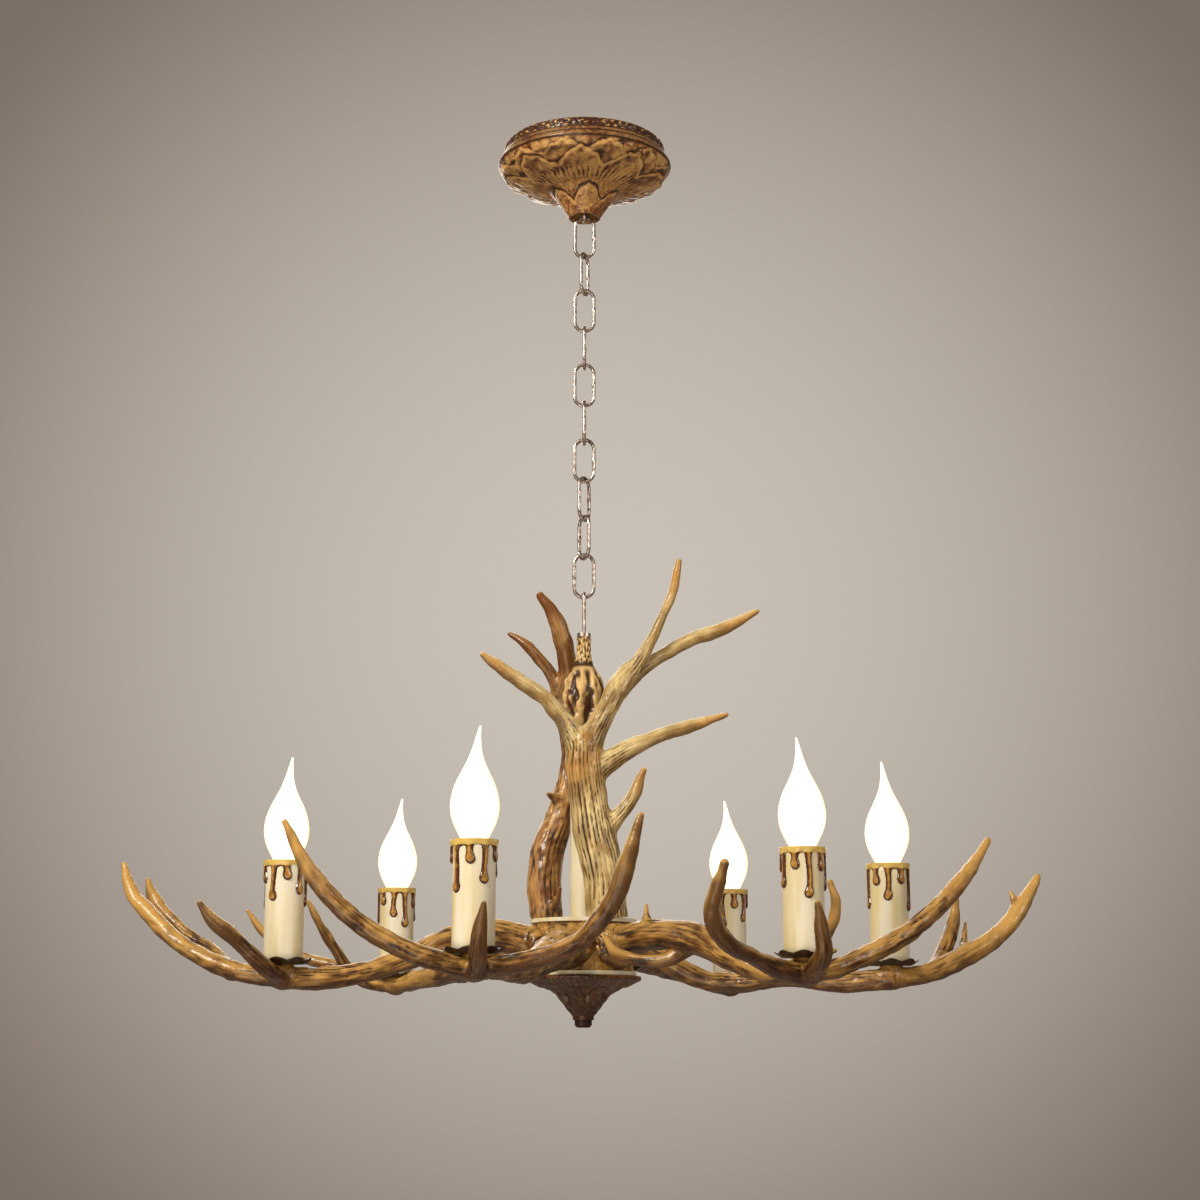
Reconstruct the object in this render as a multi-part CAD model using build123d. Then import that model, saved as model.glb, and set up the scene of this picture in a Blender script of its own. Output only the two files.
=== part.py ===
"""Antler chandelier: a carved ceiling canopy, a chain, two upright antlers and six antlers under candles.

Millimetres. The origin is on the ceiling, on the canopy's axis; +Z points up, so the lamp hangs below zero.
+X is to the right and -Y is towards the person who looks at the lamp.
"""
from build123d import *
import math
import os

os.makedirs("parts", exist_ok=True)

# ---------------------------------------------------------------- driving sizes

# fits
SLIP = 0.1            # radial gap of a screw or rod in its hole
LOOSE = 0.3           # gap round a piece that lifts out by hand

# canopy and what hangs it
CANOPY_RIM_R = 68.0
CANOPY_ROPE_SWELL = 2.0     # the carved rope round the rim stands out this far
CANOPY_ROPE_Z = -8.0        # lower edge of the rope
CANOPY_WIDEST_R = 75.5
CANOPY_WALL = 4.0
CANOPY_WIDEST_Z = -19.0
CANOPY_UNDER_R = 58.5       # where the bulge turns into the flared underside
CANOPY_UNDER_Z = -33.0
CANOPY_BOTTOM_Z = -40.0     # where the flared underside ends and the neck begins
NECK_TOP_R = 31.0
NECK_MID_R = 20.0
NECK_MID_Z = -53.0
NECK_FOOT_R = 14.5
NECK_FOOT_Z = -65.0
NECK_ROOF_Z = -44.0         # the loop's collar is drawn up against this roof
NECK_ROOF = 4.0
NECK_MOUTH_R = 12.0
BRACKET_LENGTH = 112.0
BRACKET_WIDTH = 24.0
BRACKET_THICKNESS = 2.5
BRACKET_SCREW_SPACING = 80.0
BRACKET_SCREW_HOLE_R = 2.5
WIRE_INLET_R = 5.0
WIRE_INLET_X = 22.0
NIPPLE_R = 5.0
NIPPLE_BORE_R = 3.4
NUT_HEIGHT = 4.0
NUT_ACROSS_FLATS = 17.0
NUT_Z = -12.0
BLOCK_LENGTH = 20.0
BLOCK_WIDTH = 22.0
BLOCK_HEIGHT = 15.0
BLOCK_X = -22.0
BLOCK_WIRE_R = 1.6
BLOCK_WIRE_PITCH = 7.0

# chain
WIRE_R = 1.6                # half the thickness of the link wire
LINK_LENGTH = 40.0
LINK_WIDTH = 19.5
LINK_PLAY = 0.15            # gap between two links where one hangs in the other
LINK_TURNS = (0, 70, 0, 90, 0, 90, 0, 60, 120, 180)    # degrees that each link is turned about the vertical
EYE_R = 5.2                 # centre line of the canopy's eye
EYE_BAR_Z = -67.5           # centre of the bar that the first link hangs on
COLLAR_R = 7.5

# crown
STEM_EYE_HEIGHT = 39.0
STEM_EYE_WIDTH = 11.0
STEM_SOCKET_R = 4.6
STEM_SOCKET_HEIGHT = 14.0
CROWN_TOP_R = 5.8
CROWN_SHOULDER_R = 10.2
CROWN_BURR_R = 19.0
CROWN_LOW_R = 17.2
CROWN_FOOT_R = 13.5
CROWN_NECK_HEIGHT = 26.0
CROWN_SHOULDER_HEIGHT = 22.0
CROWN_BURR_HEIGHT = 20.0
CROWN_FOOT_HEIGHT = 22.0

# rod and tube
ROD_R = 4.5
TUBE_R = 11.0
TUBE_WALL = 1.6
TUBE_LENGTH = 144.0

# hub
HUB_R = 41.0
HUB_WALL = 4.0
HUB_PLATE = 3.0
HUB_LEDGE = 2.0             # how far the plates above and below the drum stand out from it
DRUM_HEIGHT = 39.0
SEAT_FLAT = 1.5             # depth of the flats that the antlers are bolted to
BURR_DEPTH = 12.0           # half sizes of the swollen burr round each antler's foot
BURR_WIDTH = 22.0
BURR_HEIGHT = 18.0
BOWL_R = 47.0
BOWL_RIM_HEIGHT = 3.5
BOWL_STEPS = ((13, 10), (24, 15), (30, 21), (34, 27), (37.5, 31))     # how far drawn in, at each depth
BOWL_FOOT_R = 8.6
BOWL_HEIGHT = 35.0
FINIAL_R = 7.0
FINIAL_HEIGHT = 6.0
FINIAL_RECESS = 4.0
FINIAL_CHAMFER = 2.0
BOLT_R = 3.0
BOLT_LENGTH = 16.0
BOLT_HEAD_R = 5.5
BOLT_HEAD = 3.5
CONNECTOR_R = 5.0
CONNECTOR_LENGTH = 18.0
CONNECTOR_RADIUS = 24.0

# candles
SEAT_BELOW_HUB_TOP = 38.0   # from the hub's top face down to the flat seats under the drip pans
SEAT_BOSS_R = 9.5
PAN_R = 22.5
PAN_RISE = 4.0
PAN_WALL = 1.4
PAN_PETALS = 8
PAN_PETAL_DIP = 2.0
SLEEVE_R = 15.5
SLEEVE_WALL = 1.3
SLEEVE_HEIGHT = 79.0
RIM_SWELL = 0.7
RIM_HEIGHT = 5.0
DRIP_R = 1.7
DRIP_BEAD_R = 1.95
# bearing and length of each drip of wax
DRIPS = ((20, 16), (75, 34), (120, 14), (170, 26), (215, 18), (262, 38), (300, 15), (340, 24))
CANDLE_NIPPLE_R = 4.8
CANDLE_NIPPLE_DEPTH = 8.0
HOLDER_STEM_R = 7.0
HOLDER_BARREL_HEIGHT = 36.0
HOLDER_BELOW_RIM = 8.0
CAP_R = 6.8
CAP_LENGTH = 22.0
CAP_CONTACT_R = 2.6
CAP_CONTACT = 2.0
GLASS_WALL = 0.9
# the bulb: height above the sleeve's rim and radius, then height and how far the tip bends sideways
GLASS_PROFILE = ((-7.5, 6.4), (-2, 8.4), (5, 11.9), (12, 15.3), (19, 17.4), (26, 17.9), (34, 16.7),
                 (42, 14.0), (50, 10.1), (58, 6.2), (66, 3.6), (75, 1.9), (83, 0.9))
GLASS_LEAN = ((45, 0.0), (64, 0.6), (75, 1.6), (83, 3.0))

# ---------------------------------------------------------------- heights that follow from the sizes

WIRE = 2 * WIRE_R
LINK_PITCH = LINK_LENGTH - 2 * WIRE - LINK_PLAY
LINK_COUNT = len(LINK_TURNS)
FIRST_LINK_TOP_Z = EYE_BAR_Z + WIRE + LINK_PLAY + WIRE_R
LAST_LINK_BOTTOM_Z = FIRST_LINK_TOP_Z - LINK_PITCH * (LINK_COUNT - 1) - LINK_LENGTH
STEM_TOP_Z = LAST_LINK_BOTTOM_Z + WIRE + LINK_PLAY + WIRE
STEM_SOCKET_Z = STEM_TOP_Z - STEM_EYE_HEIGHT
CROWN_TOP_Z = STEM_SOCKET_Z
CROWN_SHOULDER_Z = CROWN_TOP_Z - CROWN_NECK_HEIGHT
CROWN_BURR_Z = CROWN_SHOULDER_Z - CROWN_SHOULDER_HEIGHT
CROWN_LOW_Z = CROWN_BURR_Z - CROWN_BURR_HEIGHT
CROWN_FOOT_Z = CROWN_LOW_Z - CROWN_FOOT_HEIGHT
HUB_TOP_Z = CROWN_FOOT_Z - TUBE_LENGTH
DRUM_TOP_Z = HUB_TOP_Z - HUB_PLATE
DRUM_FOOT_Z = DRUM_TOP_Z - DRUM_HEIGHT
DRUM_MID_Z = (DRUM_TOP_Z + DRUM_FOOT_Z) / 2
BOWL_TOP_Z = DRUM_FOOT_Z - HUB_PLATE
BOWL_FOOT_Z = BOWL_TOP_Z - BOWL_HEIGHT
SEAT_Z = HUB_TOP_Z - SEAT_BELOW_HUB_TOP
PAN_TOP_Z = SEAT_Z + PAN_WALL
PAN_FOOT_R = SLEEVE_R + PAN_WALL       # the pan is flat out to here and then rises
SLEEVE_TOP_Z = PAN_TOP_Z + SLEEVE_HEIGHT
HOLDER_TOP_Z = SLEEVE_TOP_Z - HOLDER_BELOW_RIM
HOLDER_R = SLEEVE_R - SLEEVE_WALL - LOOSE
ANTLER_FACE_R = HUB_R - SEAT_FLAT      # distance from the axis to the flats on the drum
HUB_PLATE_R = HUB_R + HUB_LEDGE

# ---------------------------------------------------------------- antlers

# Each spreading antler has its bearing on the drum, the height of its foot against the drum's middle, the
# place of its candle, the depth of its centre line under the candle's seat, its beam from the drum to there
# (share of the way, sideways bend, rise above the straight line, radius), and its tines, as points measured
# from the beam's centre under the candle: right, back, up, radius. A tine named long carries the beam on.
ANTLERS = {
    "near_left": {
        "bearing": 252, "foot": -2, "foot_r": 15.0, "candle": (-76.5, -225), "drop": 10, "seat_r": 8.0,
        "beam": ((0.12, 0, 0, 15.0), (0.3, 2, -4, 12.4), (0.55, 3, -8, 10.4), (0.8, 2, -3, 8.4)),
        "tines": {
            "left": ((0, 0, 0, 7.6), (-22, -11, 4, 7.5), (-60.5, -20, 19, 7.2), (-98, -27, 47.5, 6.8),
                     (-118, -33, 74, 5.1), (-131, -37, 100, 2.1)),
            "right": ((0, 0, 0, 7.6), (43, -25, 5, 7.2), (76, -43, 17, 6.6), (98, -60, 42, 6.8),
                      (110, -72, 74, 6.0), (118, -75, 100.5, 2.1)),
            "up": ((4, -10, -2, 7.0), (6, -39, 15, 6.4), (8, -48, 30, 4.6), (10, -55, 42, 1.7)),
        },
    },
    "near_right": {
        "bearing": 312, "foot": 2, "foot_r": 12.4, "candle": (164, -166), "drop": 10.5, "seat_r": 7.9,
        "beam": ((0.1, 0, 6, 12.4), (0.28, -4, 13, 11.8), (0.48, 0, 12, 12.4), (0.67, -6, 2.5, 9.8),
                 (0.85, -4, -4, 8.4)),
        "tines": {
            "curl": ((-2, -4, -2, 7.2), (-25, -24, 3, 7.6), (-42, -46, 10, 5.7), (-59, -66, 17, 6.4),
                     (-70, -80, 29, 6.6), (-72, -89, 42, 6.0), (-67.5, -96, 58, 5.0), (-64, -102, 71, 2.9)),
            "up": ((3, -8, -2, 7.1), (11, -36, 15, 6.4), (9, -41, 30, 5.4), (6, -46, 48, 2.2)),
            "right": ((0, 0, 0, 7.2), (20, -4, 2, 7.2), (38, 5, 9, 7.3), (78, 26, 29, 7.5),
                      (101, 41, 46.5, 7.1), (121, 58, 65, 6.7), (139, 76, 85, 5.1), (154.5, 94, 106, 2.4)),
            "brow": ((-84, 84, 22, 6.4), (-95, 84, 14, 5.6), (-111, 88, 12, 5.2), (-127, 94, 15, 4.8),
                     (-139, 102, 20, 4.0), (-146, 110, 30, 2.4)),
            "knob": ((-111, 108, 37, 4.4), (-114, 107, 47, 3.2), (-114, 107, 56.5, 1.1)),
        },
    },
    "middle_right": {
        "bearing": 12, "foot": 1, "foot_r": 10.8, "candle": (245, -29), "drop": 10, "seat_r": 7.8,
        "beam": ((0.09, 0, -3, 9.8), (0.19, 0, -12.5, 8.8), (0.29, 0, -19.5, 8.0), (0.41, 0, -18, 7.6),
                 (0.6, 0, -10.5, 6.3), (0.82, 0, -7.5, 8.5)),
        "tines": {
            "long": ((0, 0, 0, 7.7), (29, 1, 4, 7.7), (63, 5, 19, 8.4), (86.5, 11, 33, 7.5),
                     (105, 17, 51.5, 6.8), (117, 23, 69, 5.3), (126, 29, 83, 2.4)),
            "up": ((38, 4, 9, 6.8), (49, 24, 29, 6.5), (56, 34, 45, 5.6), (60, 39, 64, 3.0)),
            "spur": ((62, 6, 22, 4.4), (64, 30, 31, 3.4), (68, 44, 46, 1.6)),
            "nub": ((105, 18, 54, 4.0), (104, 20, 63, 2.8), (102, 21, 70, 1.5)),
        },
    },
    "far_right": {
        "bearing": 72, "foot": 2, "foot_r": 11.0, "candle": (133, 246), "drop": 6.5, "seat_r": 7.8,
        "beam": ((0.15, 4, 1, 10.6), (0.4, 8, 1.5, 9.8), (0.7, 6, 1, 8.6)),
        "tines": {
            "long": ((0, 0, 0, 7.8), (36, 24, 6.5, 7.6), (72, 37, 27, 6.6), (94, 26, 50, 5.3),
                     (101, 16, 73, 5.1), (95, 9, 95, 2.7)),
            "spur": ((74, 36, 28, 5.2), (88, 31, 31, 4.0), (100, 26, 33, 1.9)),
            "back": ((0, 2, 0, 7.6), (5, 42, 11, 6.8), (8, 62, 42, 5.2), (6, 70, 82, 2.1)),
        },
    },
    "far_left": {
        "bearing": 132, "foot": 1, "foot_r": 12.4, "candle": (-173, 228), "drop": 6, "seat_r": 7.8,
        "beam": ((0.12, 0, 0, 13.4), (0.35, -4, 2, 13.2), (0.6, -6, 2, 11.8), (0.82, -4, 0.5, 9.4)),
        "tines": {
            "brow": ((67, -78, 9, 8.6), (71, -63, 32, 6.8), (73, -58, 58, 5.2), (72, -56, 80, 2.2)),
            "left": ((0, 0, 0, 7.6), (-28, 12, 3, 6.4), (-50, 12, 14.5, 6.2), (-82.5, 17, 23.5, 5.2),
                     (-110, 22, 36, 4.4), (-127, 22, 50.5, 3.6), (-140, 20, 68, 1.9)),
            "fork": ((-43, 11, 11, 5.6), (-54, -4, 30, 5.0), (-65, -16, 48, 4.2), (-78, -28, 73, 2.1)),
            "back": ((0, 2, 0, 7.6), (-5, 40, 9, 7.9), (-8, 62, 32, 7.0), (-9, 74, 62, 5.4),
                     (-9, 78, 94, 2.1)),
        },
    },
    "middle_left": {
        "bearing": 192, "foot": 2, "foot_r": 12.4, "candle": (-235.5, -56), "drop": 10, "seat_r": 7.9,
        "beam": ((0.1, 0, 8, 12.9), (0.2, 0, 14, 12.4), (0.34, 0, 12.5, 11.0), (0.5, 0, 3, 9.4),
                 (0.68, 0, -4, 8.4), (0.85, 0, -4.5, 9.3)),
        "tines": {
            "long": ((0, 0, 0, 7.8), (-41, 4, 6, 7.6), (-70, 10, 18.5, 7.3), (-93, 16, 33.5, 6.9),
                     (-109, 22, 48.5, 6.7), (-128, 30, 70, 5.3), (-136, 36, 91, 2.5)),
            "back": ((-41, 5, 5, 6.4), (-61, 32, 23, 4.6), (-85, 46, 36, 5.2), (-105, 56, 54, 5.0),
                     (-117, 62, 68, 5.1), (-122, 66, 81, 2.3)),
            "front": ((0, -3, 0, 7.0), (-12, -36, 9, 6.4), (-29, -46, 26, 6.0), (-45, -58, 40, 5.4),
                      (-55, -66, 53, 2.2)),
        },
    },
}

# The two upright antlers: trunk and tines as right, back, height above the hub's top face, radius.
UPRIGHTS = {
    "front": {
        "trunk": ((19, -22.5, 0, 16.6), (16, -25.5, 38, 16.8), (8, -28, 70, 16.6), (4, -29, 95, 15.4),
                  (0.5, -32, 122, 15.0), (0.5, -33, 141, 12.5)),
        "tines": {
            "right": ((2, -32, 136, 12.0), (14.5, -31, 160, 9.0), (26, -25, 183, 8.9),
                      (37.5, -17, 202, 7.9)),
            "right_high": ((28, -22, 187, 8.0), (48, -18, 214, 5.7), (62, -18, 241, 3.9),
                           (73, -20, 266, 3.8), (79, -22, 294, 2.7)),
            "right_wide": ((30, -20, 189, 7.8), (56, -5, 212, 5.6), (84.5, 2, 230, 5.8), (119, 8, 244, 5.4),
                           (146, 12, 258.5, 2.3)),
            "left": ((-1, -32, 134, 11.2), (-15, -38, 157, 7.8), (-31, -45, 175, 6.3),
                     (-52.5, -52, 189, 6.0), (-68, -58, 199, 4.9), (-81, -62, 208, 2.6)),
            "middle": ((5, -30, 115, 11.5), (31, -26, 133, 8.4), (58, -20, 147, 5.9), (88, -14, 157, 5.3),
                       (118, -8, 167.5, 2.0)),
            "low": ((14, -26, 68, 9.4), (32.5, -28, 86.5, 5.9), (42.5, -30, 101.5, 5.2),
                    (49, -32, 118, 2.5)),
        },
        "bolt": (18, -21.5),
    },
    "rear": {
        "trunk": ((-30, 12, 0, 13.0), (-32.5, 15, 33, 14.0), (-29.5, 17, 58, 13.6), (-20.5, 19, 83, 12.2),
                  (-13.5, 22, 113, 9.6), (-11, 26, 142, 8.0), (-16.5, 30, 172, 8.2), (-20, 28, 190, 8.2)),
        "tines": {
            "inner": ((-20, 29, 178, 8.2), (-14, 21, 205, 7.6), (-18, 15, 235, 8.0), (-27, 12, 258, 6.0),
                      (-37, 10, 272, 3.1)),
            "outer": ((-19.5, 29, 176, 7.2), (-25.5, 24, 202, 5.2), (-37.5, 22, 219.5, 5.0),
                      (-51, 24, 234, 4.2), (-63, 26, 242, 2.3)),
            "nub": ((-18, 18, 98, 5.0), (-25, 8, 101, 3.4), (-29, 3, 103, 1.9)),
            "spike": ((-27, 8, 10, 4.5), (-22, -3, 14, 3.4), (-19, -8, 25, 1.2)),
        },
        "bolt": (-28.5, 11.5),
    },
}

# ---------------------------------------------------------------- helpers


def write(name, shape):
    """Write one piece, or one group of like pieces, under its own name."""
    solids = shape.solids()
    piece = solids[0] if len(solids) == 1 else Compound(children=list(solids))
    piece.label = name
    export_step(piece, f"parts/{name}.step")


def rod(radius, z_low, z_high, x=0.0, y=0.0):
    """A vertical cylinder between two heights."""
    return Pos(x, y, (z_low + z_high) / 2) * Cylinder(radius, z_high - z_low)


def hexagon(across_flats, z_low, z_high):
    """A vertical hexagonal bar between two heights."""
    corner_r = across_flats / 2 / math.cos(math.pi / 6)
    return Pos(0, 0, z_low) * extrude(RegularPolygon(corner_r, 6), z_high - z_low)


def turned(profile):
    """Turn a closed outline of (radius, height) points about the vertical axis."""
    edge = Polyline(*[(r, 0, z) for r, z in profile], close=True)
    return revolve(make_face(edge), Axis.Z)


def branch(points, start=None):
    """A tapering round branch through (x, y, z, radius) points, with a rounded tip."""
    spots = [Vector(*p[:3]) for p in points]
    last = len(spots) - 1
    side = None
    rings = []
    for i, (spot, point) in enumerate(zip(spots, points)):
        along = spots[min(i + 1, last)] - spots[max(i - 1, 0)]
        if i == 0 and start is not None:
            along = start
        along = along.normalized()
        if side is None:
            side = Vector(0, 0, 1) if abs(along.Z) < 0.7 else Vector(1, 0, 0)
        side = (side - along * side.dot(along)).normalized()
        rings.append(Plane(origin=spot, x_dir=side, z_dir=along) * Circle(point[3]))
    tip = Pos(*points[-1][:3]) * Sphere(points[-1][3] * 1.001)
    return loft(rings) + tip


def grow(trunk, tines):
    """Join the tines to their trunk in one solid."""
    body = trunk
    for tine in tines:
        body = body + tine
    return body


def link(top_z, turn):
    """One oval link of round wire, hanging from its top."""
    bend = LINK_WIDTH / 2 - WIRE_R
    straight = LINK_LENGTH / 2 - LINK_WIDTH / 2
    centre_line = SlotOverall(2 * (straight + bend), 2 * bend).face().outer_wire()
    flat = Plane(origin=(0, 0, top_z - LINK_LENGTH / 2), x_dir=(0, 0, 1), z_dir=(0, -1, 0))
    path = flat * centre_line
    ring = sweep(Plane(origin=path @ 0, z_dir=path % 0) * Circle(WIRE_R), path)
    return Rot(0, 0, turn) * ring


# ---------------------------------------------------------------- canopy and ceiling fixings


def make_ceiling_bracket():
    bar = Box(BRACKET_LENGTH, BRACKET_WIDTH, BRACKET_THICKNESS, align=(Align.CENTER, Align.CENTER, Align.MAX))
    bar = fillet(bar.edges().filter_by(Axis.Z), BRACKET_WIDTH / 4)
    bar -= rod(NIPPLE_R + SLIP, -BRACKET_THICKNESS, 0)
    bar -= rod(WIRE_INLET_R, -BRACKET_THICKNESS, 0, WIRE_INLET_X)
    for side in (-1, 1):
        bar -= rod(BRACKET_SCREW_HOLE_R, -BRACKET_THICKNESS, 0, side * BRACKET_SCREW_SPACING / 2)
    return bar


def make_canopy():
    wall = CANOPY_WALL
    rope_r = CANOPY_RIM_R + CANOPY_ROPE_SWELL
    band_r = (rope_r + CANOPY_WIDEST_R) / 2
    low_bulge_z = (CANOPY_WIDEST_Z + CANOPY_UNDER_Z) / 2
    flare_r = (CANOPY_UNDER_R + NECK_TOP_R) / 2
    outside = [(CANOPY_RIM_R, 0), (rope_r, CANOPY_ROPE_Z / 3), (rope_r, CANOPY_ROPE_Z),
               (band_r, CANOPY_ROPE_Z - wall), (CANOPY_WIDEST_R, CANOPY_WIDEST_Z),
               (CANOPY_WIDEST_R - wall, low_bulge_z),
               (CANOPY_UNDER_R, CANOPY_UNDER_Z), (flare_r, (CANOPY_UNDER_Z + CANOPY_BOTTOM_Z) / 2),
               (NECK_TOP_R, CANOPY_BOTTOM_Z), (NECK_MID_R, NECK_MID_Z), (NECK_FOOT_R, NECK_FOOT_Z + wall),
               (NECK_FOOT_R, NECK_FOOT_Z)]
    mouth = [(NECK_MOUTH_R, NECK_FOOT_Z), (NECK_MOUTH_R, NECK_ROOF_Z), (NIPPLE_R + SLIP, NECK_ROOF_Z),
             (NIPPLE_R + SLIP, NECK_ROOF_Z + NECK_ROOF)]
    inside = [(NECK_MID_R - wall, NECK_ROOF_Z + NECK_ROOF), (NECK_TOP_R - wall, CANOPY_BOTTOM_Z + wall),
              (CANOPY_UNDER_R - wall, CANOPY_UNDER_Z + wall / 2), (CANOPY_WIDEST_R - wall, CANOPY_WIDEST_Z),
              (CANOPY_RIM_R - wall, CANOPY_ROPE_Z), (CANOPY_RIM_R - wall, 0)]
    return turned(outside + mouth + inside)


def make_canopy_nipple():
    low = EYE_BAR_Z + 2 * EYE_R + WIRE_R + SLIP
    tube = rod(NIPPLE_R, low, -SLIP)
    return tube - rod(NIPPLE_BORE_R, low, -SLIP)


def make_canopy_lock_nut():
    nut = hexagon(NUT_ACROSS_FLATS, NUT_Z, NUT_Z + NUT_HEIGHT)
    return nut - rod(NIPPLE_R + SLIP, NUT_Z, NUT_Z + NUT_HEIGHT)


def make_canopy_loop():
    centre_z = EYE_BAR_Z + EYE_R
    eye = Pos(0, 0, centre_z) * Rot(0, 90, 0) * Torus(EYE_R, WIRE_R)
    floor_z = centre_z + EYE_R + WIRE_R
    shank = rod(COLLAR_R, floor_z - WIRE_R, NECK_ROOF_Z)
    return eye + (shank - rod(NIPPLE_R + SLIP, floor_z, NECK_ROOF_Z))


def make_terminal_block():
    block = Pos(BLOCK_X, 0, -BRACKET_THICKNESS) * Box(
        BLOCK_LENGTH, BLOCK_WIDTH, BLOCK_HEIGHT, align=(Align.CENTER, Align.CENTER, Align.MAX))
    for step in (-1, 0, 1):
        middle = Pos(BLOCK_X, step * BLOCK_WIRE_PITCH, -BRACKET_THICKNESS - BLOCK_HEIGHT / 2)
        block -= middle * Rot(0, 90, 0) * Cylinder(BLOCK_WIRE_R, BLOCK_LENGTH)
    return block


# ---------------------------------------------------------------- crown, rod, tube


def make_stem_loop():
    bend = STEM_EYE_WIDTH / 2 - WIRE_R
    floor_z = STEM_SOCKET_Z
    eye_top = STEM_TOP_Z - WIRE_R - bend
    hoop = Line((-bend, floor_z), (-bend, eye_top))
    hoop += RadiusArc((-bend, eye_top), (bend, eye_top), bend)
    hoop += Line((bend, eye_top), (bend, floor_z))
    flat = Plane(origin=(0, 0, 0), x_dir=(0, 1, 0), z_dir=(1, 0, 0))
    path = flat * hoop.wire()
    wire = sweep(Plane(origin=path @ 0, z_dir=path % 0) * Circle(WIRE_R), path)
    foot = rod(CROWN_TOP_R - SLIP, floor_z, floor_z + WIRE)
    socket = rod(STEM_SOCKET_R, floor_z - STEM_SOCKET_HEIGHT, floor_z)
    return wire + foot + socket


def make_crown_cap():
    waist_z = CROWN_SHOULDER_Z + CROWN_NECK_HEIGHT / 3
    slope_z = CROWN_SHOULDER_Z - CROWN_SHOULDER_HEIGHT / 2
    cap = turned([
        (0, CROWN_TOP_Z), (CROWN_TOP_R, CROWN_TOP_Z), (CROWN_TOP_R, waist_z),
        (CROWN_SHOULDER_R, CROWN_SHOULDER_Z), ((CROWN_SHOULDER_R + CROWN_BURR_R) / 2, slope_z),
        (CROWN_BURR_R, CROWN_BURR_Z), (CROWN_LOW_R, CROWN_LOW_Z), (CROWN_FOOT_R, CROWN_FOOT_Z),
        (0, CROWN_FOOT_Z)])
    cap -= rod(STEM_SOCKET_R + SLIP, CROWN_TOP_Z - STEM_SOCKET_HEIGHT - SLIP, CROWN_TOP_Z)
    return cap - rod(ROD_R + SLIP, CROWN_FOOT_Z, CROWN_TOP_Z - STEM_SOCKET_HEIGHT)


def make_centre_rod():
    return rod(ROD_R, BOWL_FOOT_Z - FINIAL_RECESS, CROWN_TOP_Z - STEM_SOCKET_HEIGHT - 2 * SLIP)


def make_centre_tube():
    return rod(TUBE_R, HUB_TOP_Z, CROWN_FOOT_Z) - rod(TUBE_R - TUBE_WALL, HUB_TOP_Z, CROWN_FOOT_Z)


# ---------------------------------------------------------------- hub


def seat_frame(bearing, z):
    """The place on a drum flat where an antler sits: local +Z points outwards."""
    angle = math.radians(bearing)
    out = Vector(math.cos(angle), math.sin(angle), 0)
    return Plane(origin=out * ANTLER_FACE_R + Vector(0, 0, z), x_dir=(0, 0, 1), z_dir=out)


def antler_seats():
    """Where each spreading antler meets the drum."""
    return [seat_frame(a["bearing"], DRUM_MID_Z + a["foot"]) for a in ANTLERS.values()]


def upright_bolts():
    """Where the two upright antlers are bolted down: x and y."""
    return [u["bolt"] for u in UPRIGHTS.values()]


def make_hub_top_plate():
    plate = rod(HUB_PLATE_R, DRUM_TOP_Z, HUB_TOP_Z) - rod(ROD_R + SLIP, DRUM_TOP_Z, HUB_TOP_Z)
    for x, y in upright_bolts():
        plate -= rod(BOLT_R + SLIP, DRUM_TOP_Z, HUB_TOP_Z, x, y)
    return plate


def make_hub_drum():
    drum = rod(HUB_R, DRUM_FOOT_Z, DRUM_TOP_Z) - rod(HUB_R - HUB_WALL, DRUM_FOOT_Z, DRUM_TOP_Z)
    for seat in antler_seats():
        drum -= seat * Pos(0, 0, HUB_R / 2) * Box(4 * HUB_R, 2 * HUB_R, HUB_R)
        drum -= seat * Cylinder(BOLT_R + SLIP, 4 * HUB_WALL)
    return drum


def make_hub_bottom_plate():
    return rod(HUB_PLATE_R, BOWL_TOP_Z, DRUM_FOOT_Z) - rod(ROD_R + SLIP, BOWL_TOP_Z, DRUM_FOOT_Z)


def make_hub_bowl():
    z = BOWL_TOP_Z
    steps = [(BOWL_R - drawn_in, z - depth) for drawn_in, depth in BOWL_STEPS]
    bowl = turned([(0, z), (BOWL_R, z), (BOWL_R, z - BOWL_RIM_HEIGHT), *steps, (BOWL_FOOT_R, BOWL_FOOT_Z),
                   (0, BOWL_FOOT_Z)])
    return bowl - rod(ROD_R + SLIP, BOWL_FOOT_Z, z)


def make_finial_nut():
    low = BOWL_FOOT_Z - FINIAL_HEIGHT
    nut = turned([(0, low), (FINIAL_R - FINIAL_CHAMFER, low), (FINIAL_R, low + FINIAL_CHAMFER),
                  (FINIAL_R, BOWL_FOOT_Z), (0, BOWL_FOOT_Z)])
    return nut - rod(ROD_R + SLIP, BOWL_FOOT_Z - FINIAL_RECESS, BOWL_FOOT_Z)


def bolt():
    """A pan-head bolt with the underside of its head at zero, pointing along +Z."""
    head = Pos(0, 0, -BOLT_HEAD / 2) * Cylinder(BOLT_HEAD_R, BOLT_HEAD)
    return head + Pos(0, 0, BOLT_LENGTH / 2) * Cylinder(BOLT_R, BOLT_LENGTH)


def make_hub_bolts():
    """Six bolts out through the drum's wall and two up through the top plate."""
    bolts = [seat * Pos(0, 0, -inner_depth()) * bolt() for seat in antler_seats()]
    bolts += [Pos(x, y, DRUM_TOP_Z) * bolt() for x, y in upright_bolts()]
    return Compound(children=bolts)


def inner_depth():
    """From a drum flat in to where a flat bolt head first meets the round inner wall."""
    return ANTLER_FACE_R - math.sqrt((HUB_R - HUB_WALL) ** 2 - BOLT_HEAD_R ** 2)


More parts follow.
